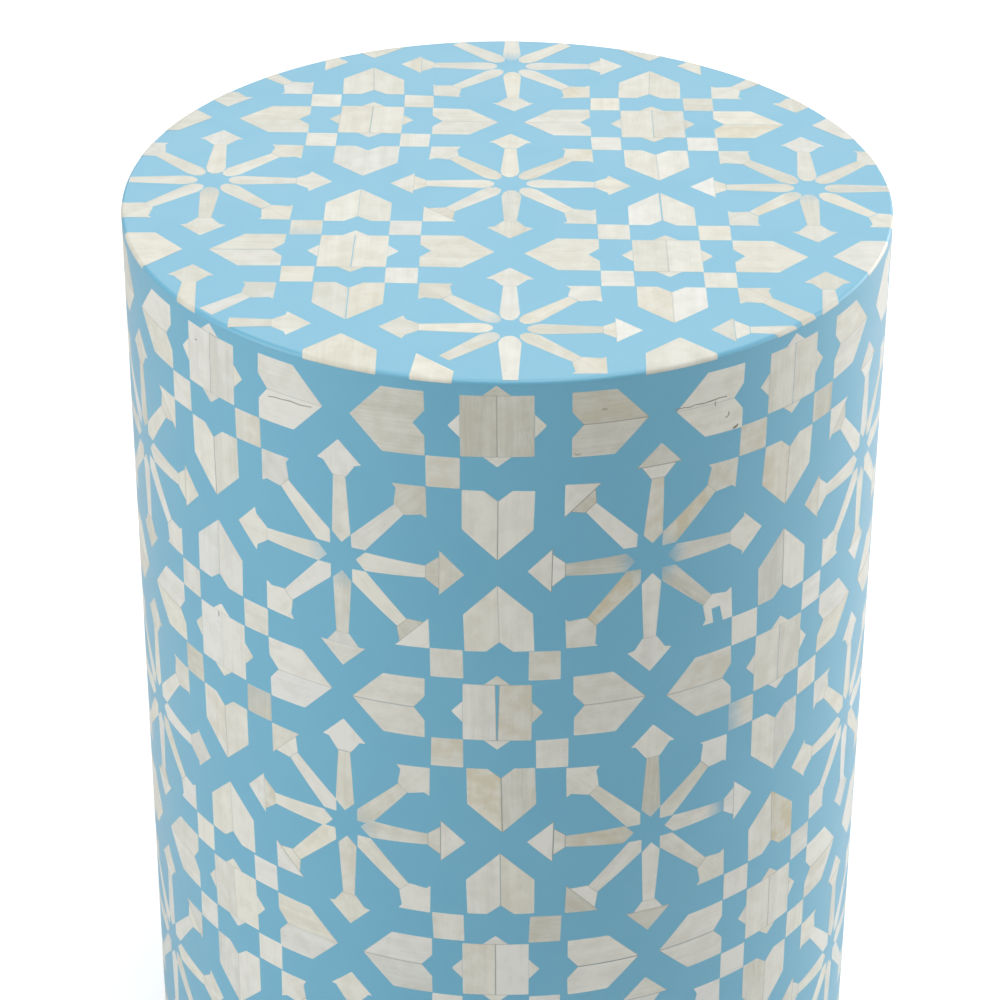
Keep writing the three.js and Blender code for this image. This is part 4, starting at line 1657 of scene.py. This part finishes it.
class Effect:
    """A shared effect: a shader node group with named inputs and outputs, built once."""

    name: str = ""
    inputs: tuple[tuple[str, str, object], ...] = ()
    outputs: tuple[tuple[str, str], ...] = ()
    _built: dict[str, bpy.types.NodeTree] = {}

    def tree(self) -> bpy.types.NodeTree:
        """The effect's node group, made at its first use."""
        if self.name not in self._built:
            tree = bpy.data.node_groups.new(self.name, "ShaderNodeTree")
            for label, kind, default in self.inputs:
                socket = tree.interface.new_socket(label, in_out="INPUT", socket_type=kind)
                if default is not None:
                    socket.default_value = default
            for label, kind in self.outputs:
                tree.interface.new_socket(label, in_out="OUTPUT", socket_type=kind)
            nodes = Nodes(tree)
            source, sink = nodes.add("NodeGroupInput"), nodes.add("NodeGroupOutput")
            for label, value in self.wire(nodes, source.outputs).items():
                nodes.feed(sink.inputs[label], value)
            self._built[self.name] = tree
        return self._built[self.name]

    def wire(self, nodes: Nodes, given: bpy.types.NodeOutputs) -> dict[str, object]:
        """Makes the group's nodes.

        Args:
            nodes: The group's tree.
            given: The group's inputs.

        Returns:
            What each output gets.
        """
        raise NotImplementedError


VECTOR, NUMBER, COLOUR = "NodeSocketVector", "NodeSocketFloat", "NodeSocketColor"


class Mottle(Effect):
    """Cloudy change of a colour, as in pigment that settled unevenly."""

    name = "mottle"
    inputs = (
        ("Place", VECTOR, None), ("Colour", COLOUR, None), ("Other Colour", COLOUR, None),
        ("Scale", NUMBER, 10.0), ("Amount", NUMBER, 0.5),
    )
    outputs = (("Colour", COLOUR), ("Mask", NUMBER))

    def wire(self, nodes: Nodes, given: bpy.types.NodeOutputs) -> dict[str, object]:
        """Two sizes of cloud, one over the other."""
        place, scale = given["Place"], given["Scale"]
        broad = nodes.times(nodes.noise(place, scale, 2.0), 0.65)
        fine = nodes.times(nodes.noise(place, nodes.times(scale, 5.3), 4.0), 0.35)
        mask = nodes.ramp(nodes.plus(broad, fine), 0.32, 0.68)
        factor = nodes.times(mask, given["Amount"])
        return {"Colour": nodes.mix(factor, given["Colour"], given["Other Colour"]), "Mask": mask}


class Sanding(Effect):
    """Fine crossing scratches and slight waviness of a surface sanded and buffed by hand."""

    name = "sanding"
    inputs = (("Place", VECTOR, None), ("Scale", NUMBER, 400.0), ("Wave", NUMBER, 22.0))
    outputs = (("Height", NUMBER), ("Dull", NUMBER))

    def wire(self, nodes: Nodes, given: bpy.types.NodeOutputs) -> dict[str, object]:
        """Noise stretched in two directions for the scratches, and broad noise for the waves."""
        place, wave, heights = given["Place"], given["Wave"], []
        for shares in ((1.0, 0.05, 0.6), (0.07, 0.8, 1.0)):
            lines = nodes.noise(nodes.stretch(place, shares), given["Scale"], 3.0, 0.7)
            heights.append(nodes.ramp(lines, 0.55, 0.75))
        scratches, waves = nodes.plus(*heights), nodes.noise(place, wave, 2.0)
        rubbed = nodes.ramp(nodes.noise(place, nodes.times(wave, 1.7)), 0.35, 0.7)
        return {
            "Height": nodes.minus(nodes.times(waves, 3.0), nodes.times(scratches, 0.12)),
            "Dull": nodes.plus(nodes.times(scratches, 0.35), nodes.times(rubbed, 0.65)),
        }


class Pits(Effect):
    """Scattered pits, such as pores of bone or pinholes left by bubbles."""

    name = "pits"
    inputs = (
        ("Place", VECTOR, None), ("Scale", NUMBER, 300.0), ("Size", NUMBER, 0.1),
        ("Share", NUMBER, 0.1),
    )
    outputs = (("Mask", NUMBER),)

    def wire(self, nodes: Nodes, given: bpy.types.NodeOutputs) -> dict[str, object]:
        """Small dots, left only where a broad noise is high."""
        place, scale, size = given["Place"], given["Scale"], given["Size"]
        dots = nodes.ramp(nodes.cells(place, scale), nodes.times(size, 0.4), size, 1.0, 0.0)
        where = nodes.noise(place, nodes.times(scale, 0.13), 2.0)
        limit = nodes.minus(0.75, nodes.times(given["Share"], 0.5))
        return {"Mask": nodes.times(dots, nodes.math("GREATER_THAN", where, limit))}


class LongGrain(Effect):
    """Streaks along a grain that runs along X: bands, lines and fine fibres."""

    name = "long_grain"
    inputs = (
        ("Place", VECTOR, None), ("Scale", NUMBER, 300.0), ("Stretch", NUMBER, 0.06),
    )
    outputs = (("Bands", NUMBER), ("Lines", NUMBER), ("Fibres", NUMBER))

    def wire(self, nodes: Nodes, given: bpy.types.NodeOutputs) -> dict[str, object]:
        """Noise that is squeezed along X, at three scales."""
        x, y, z = nodes.split(given["Place"])
        place = nodes.join(nodes.times(x, given["Stretch"]), y, z)
        broad, middle, fine = (nodes.times(given["Scale"], share) for share in (0.35, 1.3, 4.5))
        return {
            "Bands": nodes.ramp(nodes.noise(place, broad, 2.0), 0.30, 0.70),
            "Lines": nodes.ramp(nodes.noise(place, middle, 3.0, 0.6), 0.35, 0.70),
            "Fibres": nodes.noise(place, fine, 2.0, 0.7),
        }


def new_material(name: str) -> tuple[Material, Nodes, bpy.types.Node]:
    """An empty material with its output and its Principled shader.

    Args:
        name: Name of the material.

    Returns:
        The material, its nodes and the shader.
    """
    material = bpy.data.materials.new(name)
    material.use_nodes = True
    material.node_tree.nodes.clear()
    nodes = Nodes(material.node_tree)
    shader = nodes.add("ShaderNodeBsdfPrincipled")
    nodes.put(nodes.add("ShaderNodeOutputMaterial"), Surface=shader.outputs[0])
    return material, nodes, shader


RESIN_COLOUR: Colour = (0.160, 0.488, 0.680, 1.0)

# The colour, the roughness and the height that a finish makes
Look = tuple[object, object, object]


@dataclass(frozen=True)
class Finish:
    """A procedural material. relief is what a height of 1 in its bump is, in metres."""

    name: str = ""
    relief: float = 0.0

    def build(self) -> Material:
        """The finished material."""
        material, nodes, shader = new_material(self.name)
        colour, roughness, height = self.look(nodes, shader)
        bump = nodes.add("ShaderNodeBump")
        nodes.put(bump, Strength=1.0, Distance=self.relief, Height=height)
        nodes.put(shader, Base_Color=colour, Roughness=roughness, Normal=bump.outputs[0])
        return material

    def look(self, nodes: Nodes, shader: bpy.types.Node) -> Look:
        """Makes the nodes that are the finish's own.

        Args:
            nodes: The material's nodes.
            shader: Its shader, for whatever else the finish sets there.

        Returns:
            The colour, the roughness, and the height from 0 to 1.
        """
        raise NotImplementedError


@dataclass(frozen=True)
class ResinFinish(Finish):
    """Light blue poured resin, sanded and buffed to a satin gloss."""

    name: str = "blue_resin"
    relief: float = 0.00005
    colour: Colour = RESIN_COLOUR
    cloud: Colour = (0.177, 0.508, 0.695, 1.0)
    bubble: Colour = (0.42, 0.66, 0.80, 1.0)
    roughness: float = 0.34
    coat: float = 0.45

    def look(self, nodes: Nodes, shader: bpy.types.Node) -> Look:
        """Cloudy pigment, pinholes and sanding marks."""
        place = nodes.object_place()
        mottle = nodes.group(Mottle, Place=place, Colour=self.colour, Other_Colour=self.cloud,
                             Scale=14.0, Amount=0.8)
        sanding = nodes.group(Sanding, Place=place, Scale=420.0, Wave=16.0)
        pits = nodes.group(Pits, Place=place, Scale=210.0, Size=0.085, Share=0.28)["Mask"]
        colour = nodes.mix(nodes.times(pits, 0.30), mottle["Colour"], self.bubble)
        rough = nodes.plus(self.roughness, nodes.times(sanding["Dull"], 0.10))
        nodes.put(shader, IOR=1.5, Coat_Weight=self.coat, Coat_Roughness=self.roughness)
        return colour, rough, nodes.minus(sanding["Height"], pits)


@dataclass(frozen=True)
class BoneFinish(Finish):
    """Ivory bone, each slip in its own tone, streaked along its grain and polished."""

    name: str = "ivory_bone"
    relief: float = 0.00004
    cool_white: Colour = (0.876, 0.882, 0.846, 1.0)
    warm_white: Colour = (0.908, 0.895, 0.780, 1.0)
    cool_grey: Colour = (0.640, 0.655, 0.590, 1.0)
    warm_grey: Colour = (0.684, 0.660, 0.545, 1.0)
    amber: Colour = (0.640, 0.530, 0.270, 1.0)
    ash: Colour = (0.500, 0.520, 0.440, 1.0)
    dash: Colour = (0.330, 0.320, 0.270, 1.0)
    pore: Colour = (0.270, 0.210, 0.140, 1.0)
    glue: Colour = (0.190, 0.180, 0.140, 1.0)
    veil: Colour = RESIN_COLOUR
    veil_length: float = 0.013
    roughness: float = 0.34
    coat: float = 0.2
    coat_roughness: float = 0.25

    def look(self, nodes: Nodes, shader: bpy.types.Node) -> Look:
        """Tone, cast, stain, pores, seams and veil, from each slip's place, make and cast."""
        place = nodes.slip_value(SLIP_PLACE)
        along = nodes.split(place)[0]
        tone, stain, veil = nodes.split(nodes.slip_value(SLIP_MAKE))
        ash, seam, warm = nodes.split(nodes.slip_value(SLIP_CAST))
        bands, lines, fibres = nodes.group(LongGrain, Place=place, Scale=520.0, Stretch=0.055)

        patchy = nodes.ramp(nodes.noise(place, 110.0), 0.38, 0.64)
        grey = tone
        for mask, amount in ((bands, 0.20), (lines, 0.10), (patchy, 0.24)):
            grey = nodes.plus(grey, nodes.times(nodes.minus(mask, 0.5), amount))
        grey = nodes.math("MAXIMUM", nodes.math("MINIMUM", grey, 1.0), 0.0)
        white = nodes.mix(warm, self.cool_white, self.warm_white)
        colour = nodes.mix(grey, white, nodes.mix(warm, self.cool_grey, self.warm_grey))
        colour = nodes.mix(self._share(nodes, ash, lines, 0.50), colour, self.ash)
        colour = nodes.mix(self._share(nodes, stain, patchy, 0.62), colour, self.amber)
        dashes = nodes.times(nodes.ramp(fibres, 0.48, 0.74), bands)
        shown = nodes.plus(nodes.times(ash, 0.45), 0.08)
        colour = nodes.mix(nodes.times(dashes, shown), colour, self.dash)
        pores = nodes.group(Pits, Place=nodes.stretch(place, (0.45, 1.0, 1.0)), Scale=620.0,
                            Size=0.15, Share=0.26)["Mask"]
        colour = nodes.mix(nodes.times(pores, 0.35), colour, self.pore)
        colour = nodes.mix(seam, colour, self.glue)
        run = nodes.plus(along, nodes.times(nodes.noise(place, 260.0), 0.004))
        cover = nodes.ramp(run, 0.0, self.veil_length, 1.0, 0.0)
        colour = nodes.mix(nodes.times(cover, veil), colour, self.veil)

        rough = nodes.plus(self.roughness, nodes.times(lines, 0.07))
        rough = nodes.plus(rough, nodes.times(pores, 0.25))
        nodes.put(shader, IOR=1.5, Coat_Weight=self.coat, Coat_Roughness=self.coat_roughness)
        height = nodes.minus(nodes.times(fibres, 0.5), pores)
        return colour, rough, nodes.minus(height, nodes.times(seam, 0.8))

    def _share(self, nodes: Nodes, amount: object, mask: object, most: float) -> object:
        """An amount that shows mostly where a mask is high."""
        part = nodes.plus(nodes.times(mask, 0.7), 0.3)
        return nodes.times(nodes.times(amount, part), most, clamp=True)


@dataclass(frozen=True)
class FillerFinish(Finish):
    """Dark glue in the pits and cracks of the bone, rubbed with bone dust."""

    name: str = "filler"
    relief: float = 0.00005
    dark: Colour = (0.110, 0.100, 0.070, 1.0)
    dust: Colour = (0.480, 0.440, 0.350, 1.0)
    most_grit: float = 0.35

    def look(self, nodes: Nodes, shader: bpy.types.Node) -> Look:
        """Gritty glue, lighter where a fault is faint."""
        place, strength = nodes.slip_value(SLIP_PLACE), nodes.split(nodes.slip_value(SLIP_MAKE))[0]
        grit = nodes.ramp(nodes.noise(place, 2200.0), 0.3, 0.7, 0.0, self.most_grit)
        dusty = nodes.plus(nodes.minus(1.0, strength), grit, clamp=True)
        rough = nodes.ramp(grit, 0.0, self.most_grit, 0.5, 0.7)
        return nodes.mix(dusty, self.dark, self.dust), rough, grit


@dataclass(frozen=True)
class BoardFinish(Finish):
    """Fibreboard: short matted fibres under a thin sealer."""

    name: str = "fibreboard"
    relief: float = 0.00012
    colour: Colour = (0.330, 0.205, 0.110, 1.0)
    fibre: Colour = (0.480, 0.330, 0.190, 1.0)

    def look(self, nodes: Nodes, shader: bpy.types.Node) -> Look:
        """Cloudy brown with bright flecks."""
        place = nodes.object_place()
        mottle = nodes.group(Mottle, Place=place, Colour=self.colour, Other_Colour=self.fibre,
                             Scale=60.0, Amount=0.55)
        flecks = nodes.noise(nodes.stretch(place, (1.0, 0.35, 1.0)), 1900.0, 3.0, 0.7)
        bright = nodes.times(nodes.ramp(flecks, 0.50, 0.72), 0.5)
        colour = nodes.mix(bright, mottle["Colour"], self.fibre)
        return colour, nodes.ramp(flecks, 0.3, 0.7, 0.70, 0.88), flecks


@dataclass(frozen=True)
class SawnWoodFinish(Finish):
    """Softwood with its grain upright: growth rings, knots of colour and saw marks."""

    name: str = "sawn_softwood"
    relief: float = 0.00012
    early: Colour = (0.640, 0.455, 0.270, 1.0)
    late: Colour = (0.430, 0.255, 0.120, 1.0)

    def look(self, nodes: Nodes, shader: bpy.types.Node) -> Look:
        """Late wood in bands and lines, with saw marks across them."""
        x, y, z = nodes.split(nodes.object_place())
        place = nodes.join(z, x, y)
        bands, lines, fibres = nodes.group(LongGrain, Place=place, Scale=260.0, Stretch=0.05)
        late = nodes.times(nodes.plus(bands, lines), 0.42, clamp=True)
        saw = nodes.noise(nodes.stretch(place, (1.0, 0.04, 0.04)), 900.0, 2.0)
        rough = nodes.ramp(fibres, 0.3, 0.7, 0.62, 0.80)
        return nodes.mix(late, self.early, self.late), rough, nodes.plus(fibres, saw)


@dataclass(frozen=True)
class PlywoodFinish(Finish):
    """Bending plywood: upright grain on its faces and thin layers in its edges."""

    name: str = "bent_plywood"
    relief: float = 0.00015
    outer_radius: float = 0.16366
    layer: float = 0.002
    face: Colour = (0.600, 0.430, 0.250, 1.0)
    dark: Colour = (0.370, 0.220, 0.110, 1.0)

    def look(self, nodes: Nodes, shader: bpy.types.Node) -> Look:
        """Layers that follow the way out from the drum's axis, and grain that runs up."""
        x, y, z = nodes.split(nodes.object_place())
        square = nodes.plus(nodes.times(x, x), nodes.times(y, y))
        inwards = nodes.minus(self.outer_radius, nodes.math("SQRT", square))
        bearing = nodes.times(nodes.math("ARCTAN2", y, x), self.outer_radius)
        place = nodes.join(z, bearing, inwards)
        bands, lines, fibres = nodes.group(LongGrain, Place=place, Scale=230.0, Stretch=0.05)
        layer = nodes.ramp(nodes.math("PINGPONG", inwards, self.layer), 0.0009, 0.0012)
        streaks = nodes.times(nodes.plus(bands, lines), 0.34)
        tone = nodes.plus(streaks, nodes.times(layer, 0.35), clamp=True)
        rough = nodes.ramp(fibres, 0.3, 0.7, 0.66, 0.84)
        return nodes.mix(tone, self.face, self.dark), rough, nodes.plus(fibres, layer)


@dataclass(frozen=True)
class NylonFinish(Finish):
    """Off-white nylon of the glides, scuffed where it rests."""

    name: str = "nylon"
    relief: float = 0.00004
    colour: Colour = (0.760, 0.740, 0.680, 1.0)
    scuff: Colour = (0.520, 0.500, 0.450, 1.0)

    def look(self, nodes: Nodes, shader: bpy.types.Node) -> Look:
        """Scuffs as clouds and fine scratches."""
        place = nodes.object_place()
        mottle = nodes.group(Mottle, Place=place, Colour=self.colour, Other_Colour=self.scuff,
                             Scale=160.0, Amount=0.45)
        sanding = nodes.group(Sanding, Place=place, Scale=900.0, Wave=120.0)
        rough = nodes.ramp(sanding["Dull"], 0.0, 1.0, 0.42, 0.60)
        return mottle["Colour"], rough, sanding["Height"]


@dataclass(frozen=True)
class ZincFinish(Finish):
    """Zinc plated steel: bright, slightly clouded, with turning marks."""

    name: str = "zinc_plate"
    relief: float = 0.00003
    colour: Colour = (0.560, 0.565, 0.575, 1.0)
    cloud: Colour = (0.400, 0.405, 0.410, 1.0)

    def look(self, nodes: Nodes, shader: bpy.types.Node) -> Look:
        """Clouded metal with marks round the axis."""
        place = nodes.object_place()
        mottle = nodes.group(Mottle, Place=place, Colour=self.colour, Other_Colour=self.cloud,
                             Scale=420.0, Amount=0.6)
        marks = nodes.noise(nodes.stretch(place, (0.1, 0.1, 1.0)), 3200.0, 2.0)
        nodes.put(shader, Metallic=1.0)
        return mottle["Colour"], nodes.ramp(mottle["Mask"], 0.0, 1.0, 0.26, 0.42), marks


@dataclass
class Carcass:
    """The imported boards, battens, ply and fasteners, each with its finish."""

    nodes: dict[str, bpy.types.Object]

    def dress(self) -> None:
        """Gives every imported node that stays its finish."""
        finishes = {
            ("seat_board", "base_board", "middle_rib"): BoardFinish().build(),
            ("batten",): SawnWoodFinish().build(),
            ("ply_wall",): PlywoodFinish().build(),
            ("glide_pad",): NylonFinish().build(),
            ("base_screw", "glide_nail"): ZincFinish().build(),
        }
        for starts, material in finishes.items():
            for name, node in self.nodes.items():
                if name.startswith(starts):
                    for holder in node.material_slots:
                        holder.material = material
                    LOG.info("%s: %s", name, material.name)


WHITE: Colour = (1.0, 1.0, 1.0, 1.0)


@dataclass
class Studio:
    """White floor and soft light, with the camera where the photograph was taken.

    The floor's glow to the camera grows from glow[0] to glow[1] over glow_span, in metres
    from the drum. The sky is as strong as it says for the camera, mirrors and the rest.
    """

    drum: DrumSizes
    distance: float = 1.5301
    elevation: float = math.radians(25.995)
    azimuth: float = math.radians(0.27)
    tilt: float = 0.0870
    pan: float = -0.0015
    roll: float = 0.0068
    lens: float = 126.08
    sensor: float = 36.0
    floor_reach: float = 14.0
    floor_grey: float = 0.80
    floor_dullness: float = 0.6
    glow_span: Point = (0.7, 2.4)
    glow: Point = (0.45, 0.97)
    sky_seen: float = 0.92
    sky_mirrored: float = 0.50
    sky_light: float = 0.08

    def build(self) -> None:
        """Makes the floor, the lamps, the world and the camera."""
        self._floor()
        self._world()
        middle = (0.0, 0.0, 0.3)
        self._lamp("sky_panel", (0.0, -0.3, 2.3), middle, (2.2, 2.0), 31.2)
        self._lamp("left_panel", (-1.9, -1.0, 0.8), middle, (1.6, 1.5), 17.6, 0.5)
        self._lamp("front_left_panel", (-1.4, -1.7, 0.8), middle, (1.6, 1.5), 3.5)
        self._lamp("right_panel", (2.2, -0.1, 0.7), middle, (1.4, 1.4), 14.5, 0.35)
        self._lamp("back_right_panel", (1.7, 1.2, 0.8), middle, (1.4, 1.4), 18.3, 0.35)
        self._lamp("back_panel", (0.0, 2.5, 1.95), (0.0, 0.0, 0.45), (3.2, 1.6), 17.5)
        self._camera()
        bpy.context.scene.view_settings.view_transform = "Standard"

    def _floor(self) -> None:
        """A pale floor, lit up for the camera so that it reads as white, and more far off."""
        mesh, size = bpy.data.meshes.new("floor"), self.floor_reach
        mesh.from_pydata(
            [(-size, -size, 0), (size, -size, 0), (size, size, 0), (-size, size, 0)],
            [], [(0, 1, 2, 3)],
        )
        material, nodes, shader = new_material("white_floor")
        seen = nodes.add("ShaderNodeLightPath").outputs["Is Camera Ray"]
        away = nodes.add("ShaderNodeVectorMath", operation="LENGTH")
        nodes.feed(away.inputs[0], nodes.object_place())
        glow = nodes.ramp(away.outputs["Value"], *self.glow_span, *self.glow)
        nodes.put(shader, Base_Color=(*[self.floor_grey] * 3, 1.0), Roughness=self.floor_dullness,
                  Emission_Color=WHITE, Emission_Strength=nodes.times(seen, glow))
        new_object("floor", mesh, material)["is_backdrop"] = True

    def _world(self) -> None:
        """Even white surroundings, pure white to the camera and bright in reflections."""
        world = bpy.data.worlds.new("studio")
        bpy.context.scene.world = world
        world.use_nodes = True
        world.node_tree.nodes.clear()
        nodes = Nodes(world.node_tree)
        path = nodes.add("ShaderNodeLightPath").outputs
        seen = nodes.times(path["Is Camera Ray"], self.sky_seen)
        lit = nodes.plus(nodes.times(path["Is Glossy Ray"], self.sky_mirrored), self.sky_light)
        sky = nodes.add("ShaderNodeBackground")
        nodes.put(sky, Color=WHITE, Strength=nodes.plus(seen, lit))
        nodes.put(nodes.add("ShaderNodeOutputWorld"), Surface=sky.outputs[0])

    def _lamp(self, name: str, at: tuple[float, float, float],
              target: tuple[float, float, float], size: Point, power: float,
              gleam: float = 1.0) -> None:
        """A soft rectangular lamp.

        Args:
            name: Name of the lamp.
            at: Its place, in metres.
            target: Where it points.
            size: Its width and height.
            power: Its power in watts.
            gleam: How strong its reflection is, as a share of a real lamp's.
        """
        lamp = bpy.data.lights.new(name, "AREA")
        lamp.shape = "RECTANGLE"
        lamp.size, lamp.size_y = size
        lamp.energy = power
        lamp.specular_factor = gleam
        made = bpy.data.objects.new(name, lamp)
        made.location = at
        made.rotation_mode = "QUATERNION"
        made.rotation_quaternion = (Vector(target) - Vector(at)).to_track_quat("-Z", "Y")
        bpy.context.scene.collection.objects.link(made)

    def _camera(self) -> None:
        """The camera, fitted to the photograph's ellipses and pattern."""
        target = Vector((0, 0, self.drum.height * MM))
        flat, rise = (self.distance * share(self.elevation) for share in (math.cos, math.sin))
        at = target + Vector((flat * math.sin(self.azimuth), -flat * math.cos(self.azimuth), rise))
        ahead = (target - at).normalized()
        right = ahead.cross(Vector((0, 0, 1))).normalized()
        above = right.cross(ahead)
        ahead, above = turned_pair(ahead, above, -self.tilt)
        ahead, right = turned_pair(ahead, right, self.pan)
        right, above = turned_pair(right, above, self.roll)
        data = bpy.data.cameras.new("camera")
        data.lens, data.sensor_width = self.lens, self.sensor
        camera = bpy.data.objects.new("camera", data)
        turn = Matrix((right, above, -ahead)).transposed()
        camera.matrix_world = Matrix.Translation(at) @ turn.to_4x4()
        bpy.context.scene.collection.objects.link(camera)
        bpy.context.scene.camera = camera


def turned_pair(first: Vector, second: Vector, angle: float) -> tuple[Vector, Vector]:
    """Two directions turned in their plane, the first towards the second."""
    cosine, sine = math.cos(angle), math.sin(angle)
    return cosine * first + sine * second, cosine * second - sine * first


def corners(box: tuple[Vector, Vector]) -> list[list[float]]:
    """A box as plain lists of numbers."""
    return [list(corner) for corner in box]


def main() -> None:
    """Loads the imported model, builds each sub-assembly and reports its pieces."""
    logging.basicConfig(level=logging.INFO, format="%(message)s")
    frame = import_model()
    packed_box = corners(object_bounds())
    drum, pattern, hand = DrumSizes(), Pattern(), HandCut()
    bone, filler = BoneFinish().build(), FillerFinish().build()
    ResinSkin(drum).build(ResinFinish().build())

    wall = WallInlay(
        drum, pattern, hand, Stock(), seed=31, heads=WALL_HEADS, flares=WALL_FLARES,
        shifts=WALL_SHIFTS, gaps=WALL_GAPS, wholes=WALL_WHOLES, bones=WALL_BONES,
    )
    wall.lay()
    wall.dress("wall", bone, filler, ["wall_inlay"])

    rounder = replace(pattern, round_roots=True)
    # The seat's slips are drawn far greyer than the wall's (tone mean 0.72 against 0.18). This is
    # painted shade that offsets the stronger light falling on the top. The narrower spread of
    # tone, stain and ash is the bone's own.
    even_stock_with_painted_shade = Stock(
        tone=(0.72, 0.10), stain=0.08, ash=0.12, veiled=0.04, seams=(0.0, 0.10, 0.20, 0.35),
        squares=0.20,
    )
    seat = SeatInlay(
        drum, rounder, hand, even_stock_with_painted_shade, seed=47, heads=SEAT_HEADS, long_rays=SEAT_LONG_RAYS,
        short_rays=SEAT_SHORT_RAYS, shifts=SEAT_SHIFTS, gaps=SEAT_GAPS, wholes=SEAT_WHOLES,
        bones=SEAT_BONES,
    )
    seat.lay()
    edges = sorted(name for name in frame["nodes"] if name.startswith("seat_edge_slip"))
    seat.dress("seat", bone, filler, ["seat_inlay", *edges])

    Carcass(frame["nodes"]).dress()
    Studio(drum).build()
    boxes = {"packed": packed_box, "visual": corners(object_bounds())}


if __name__ == "__main__":
    main()
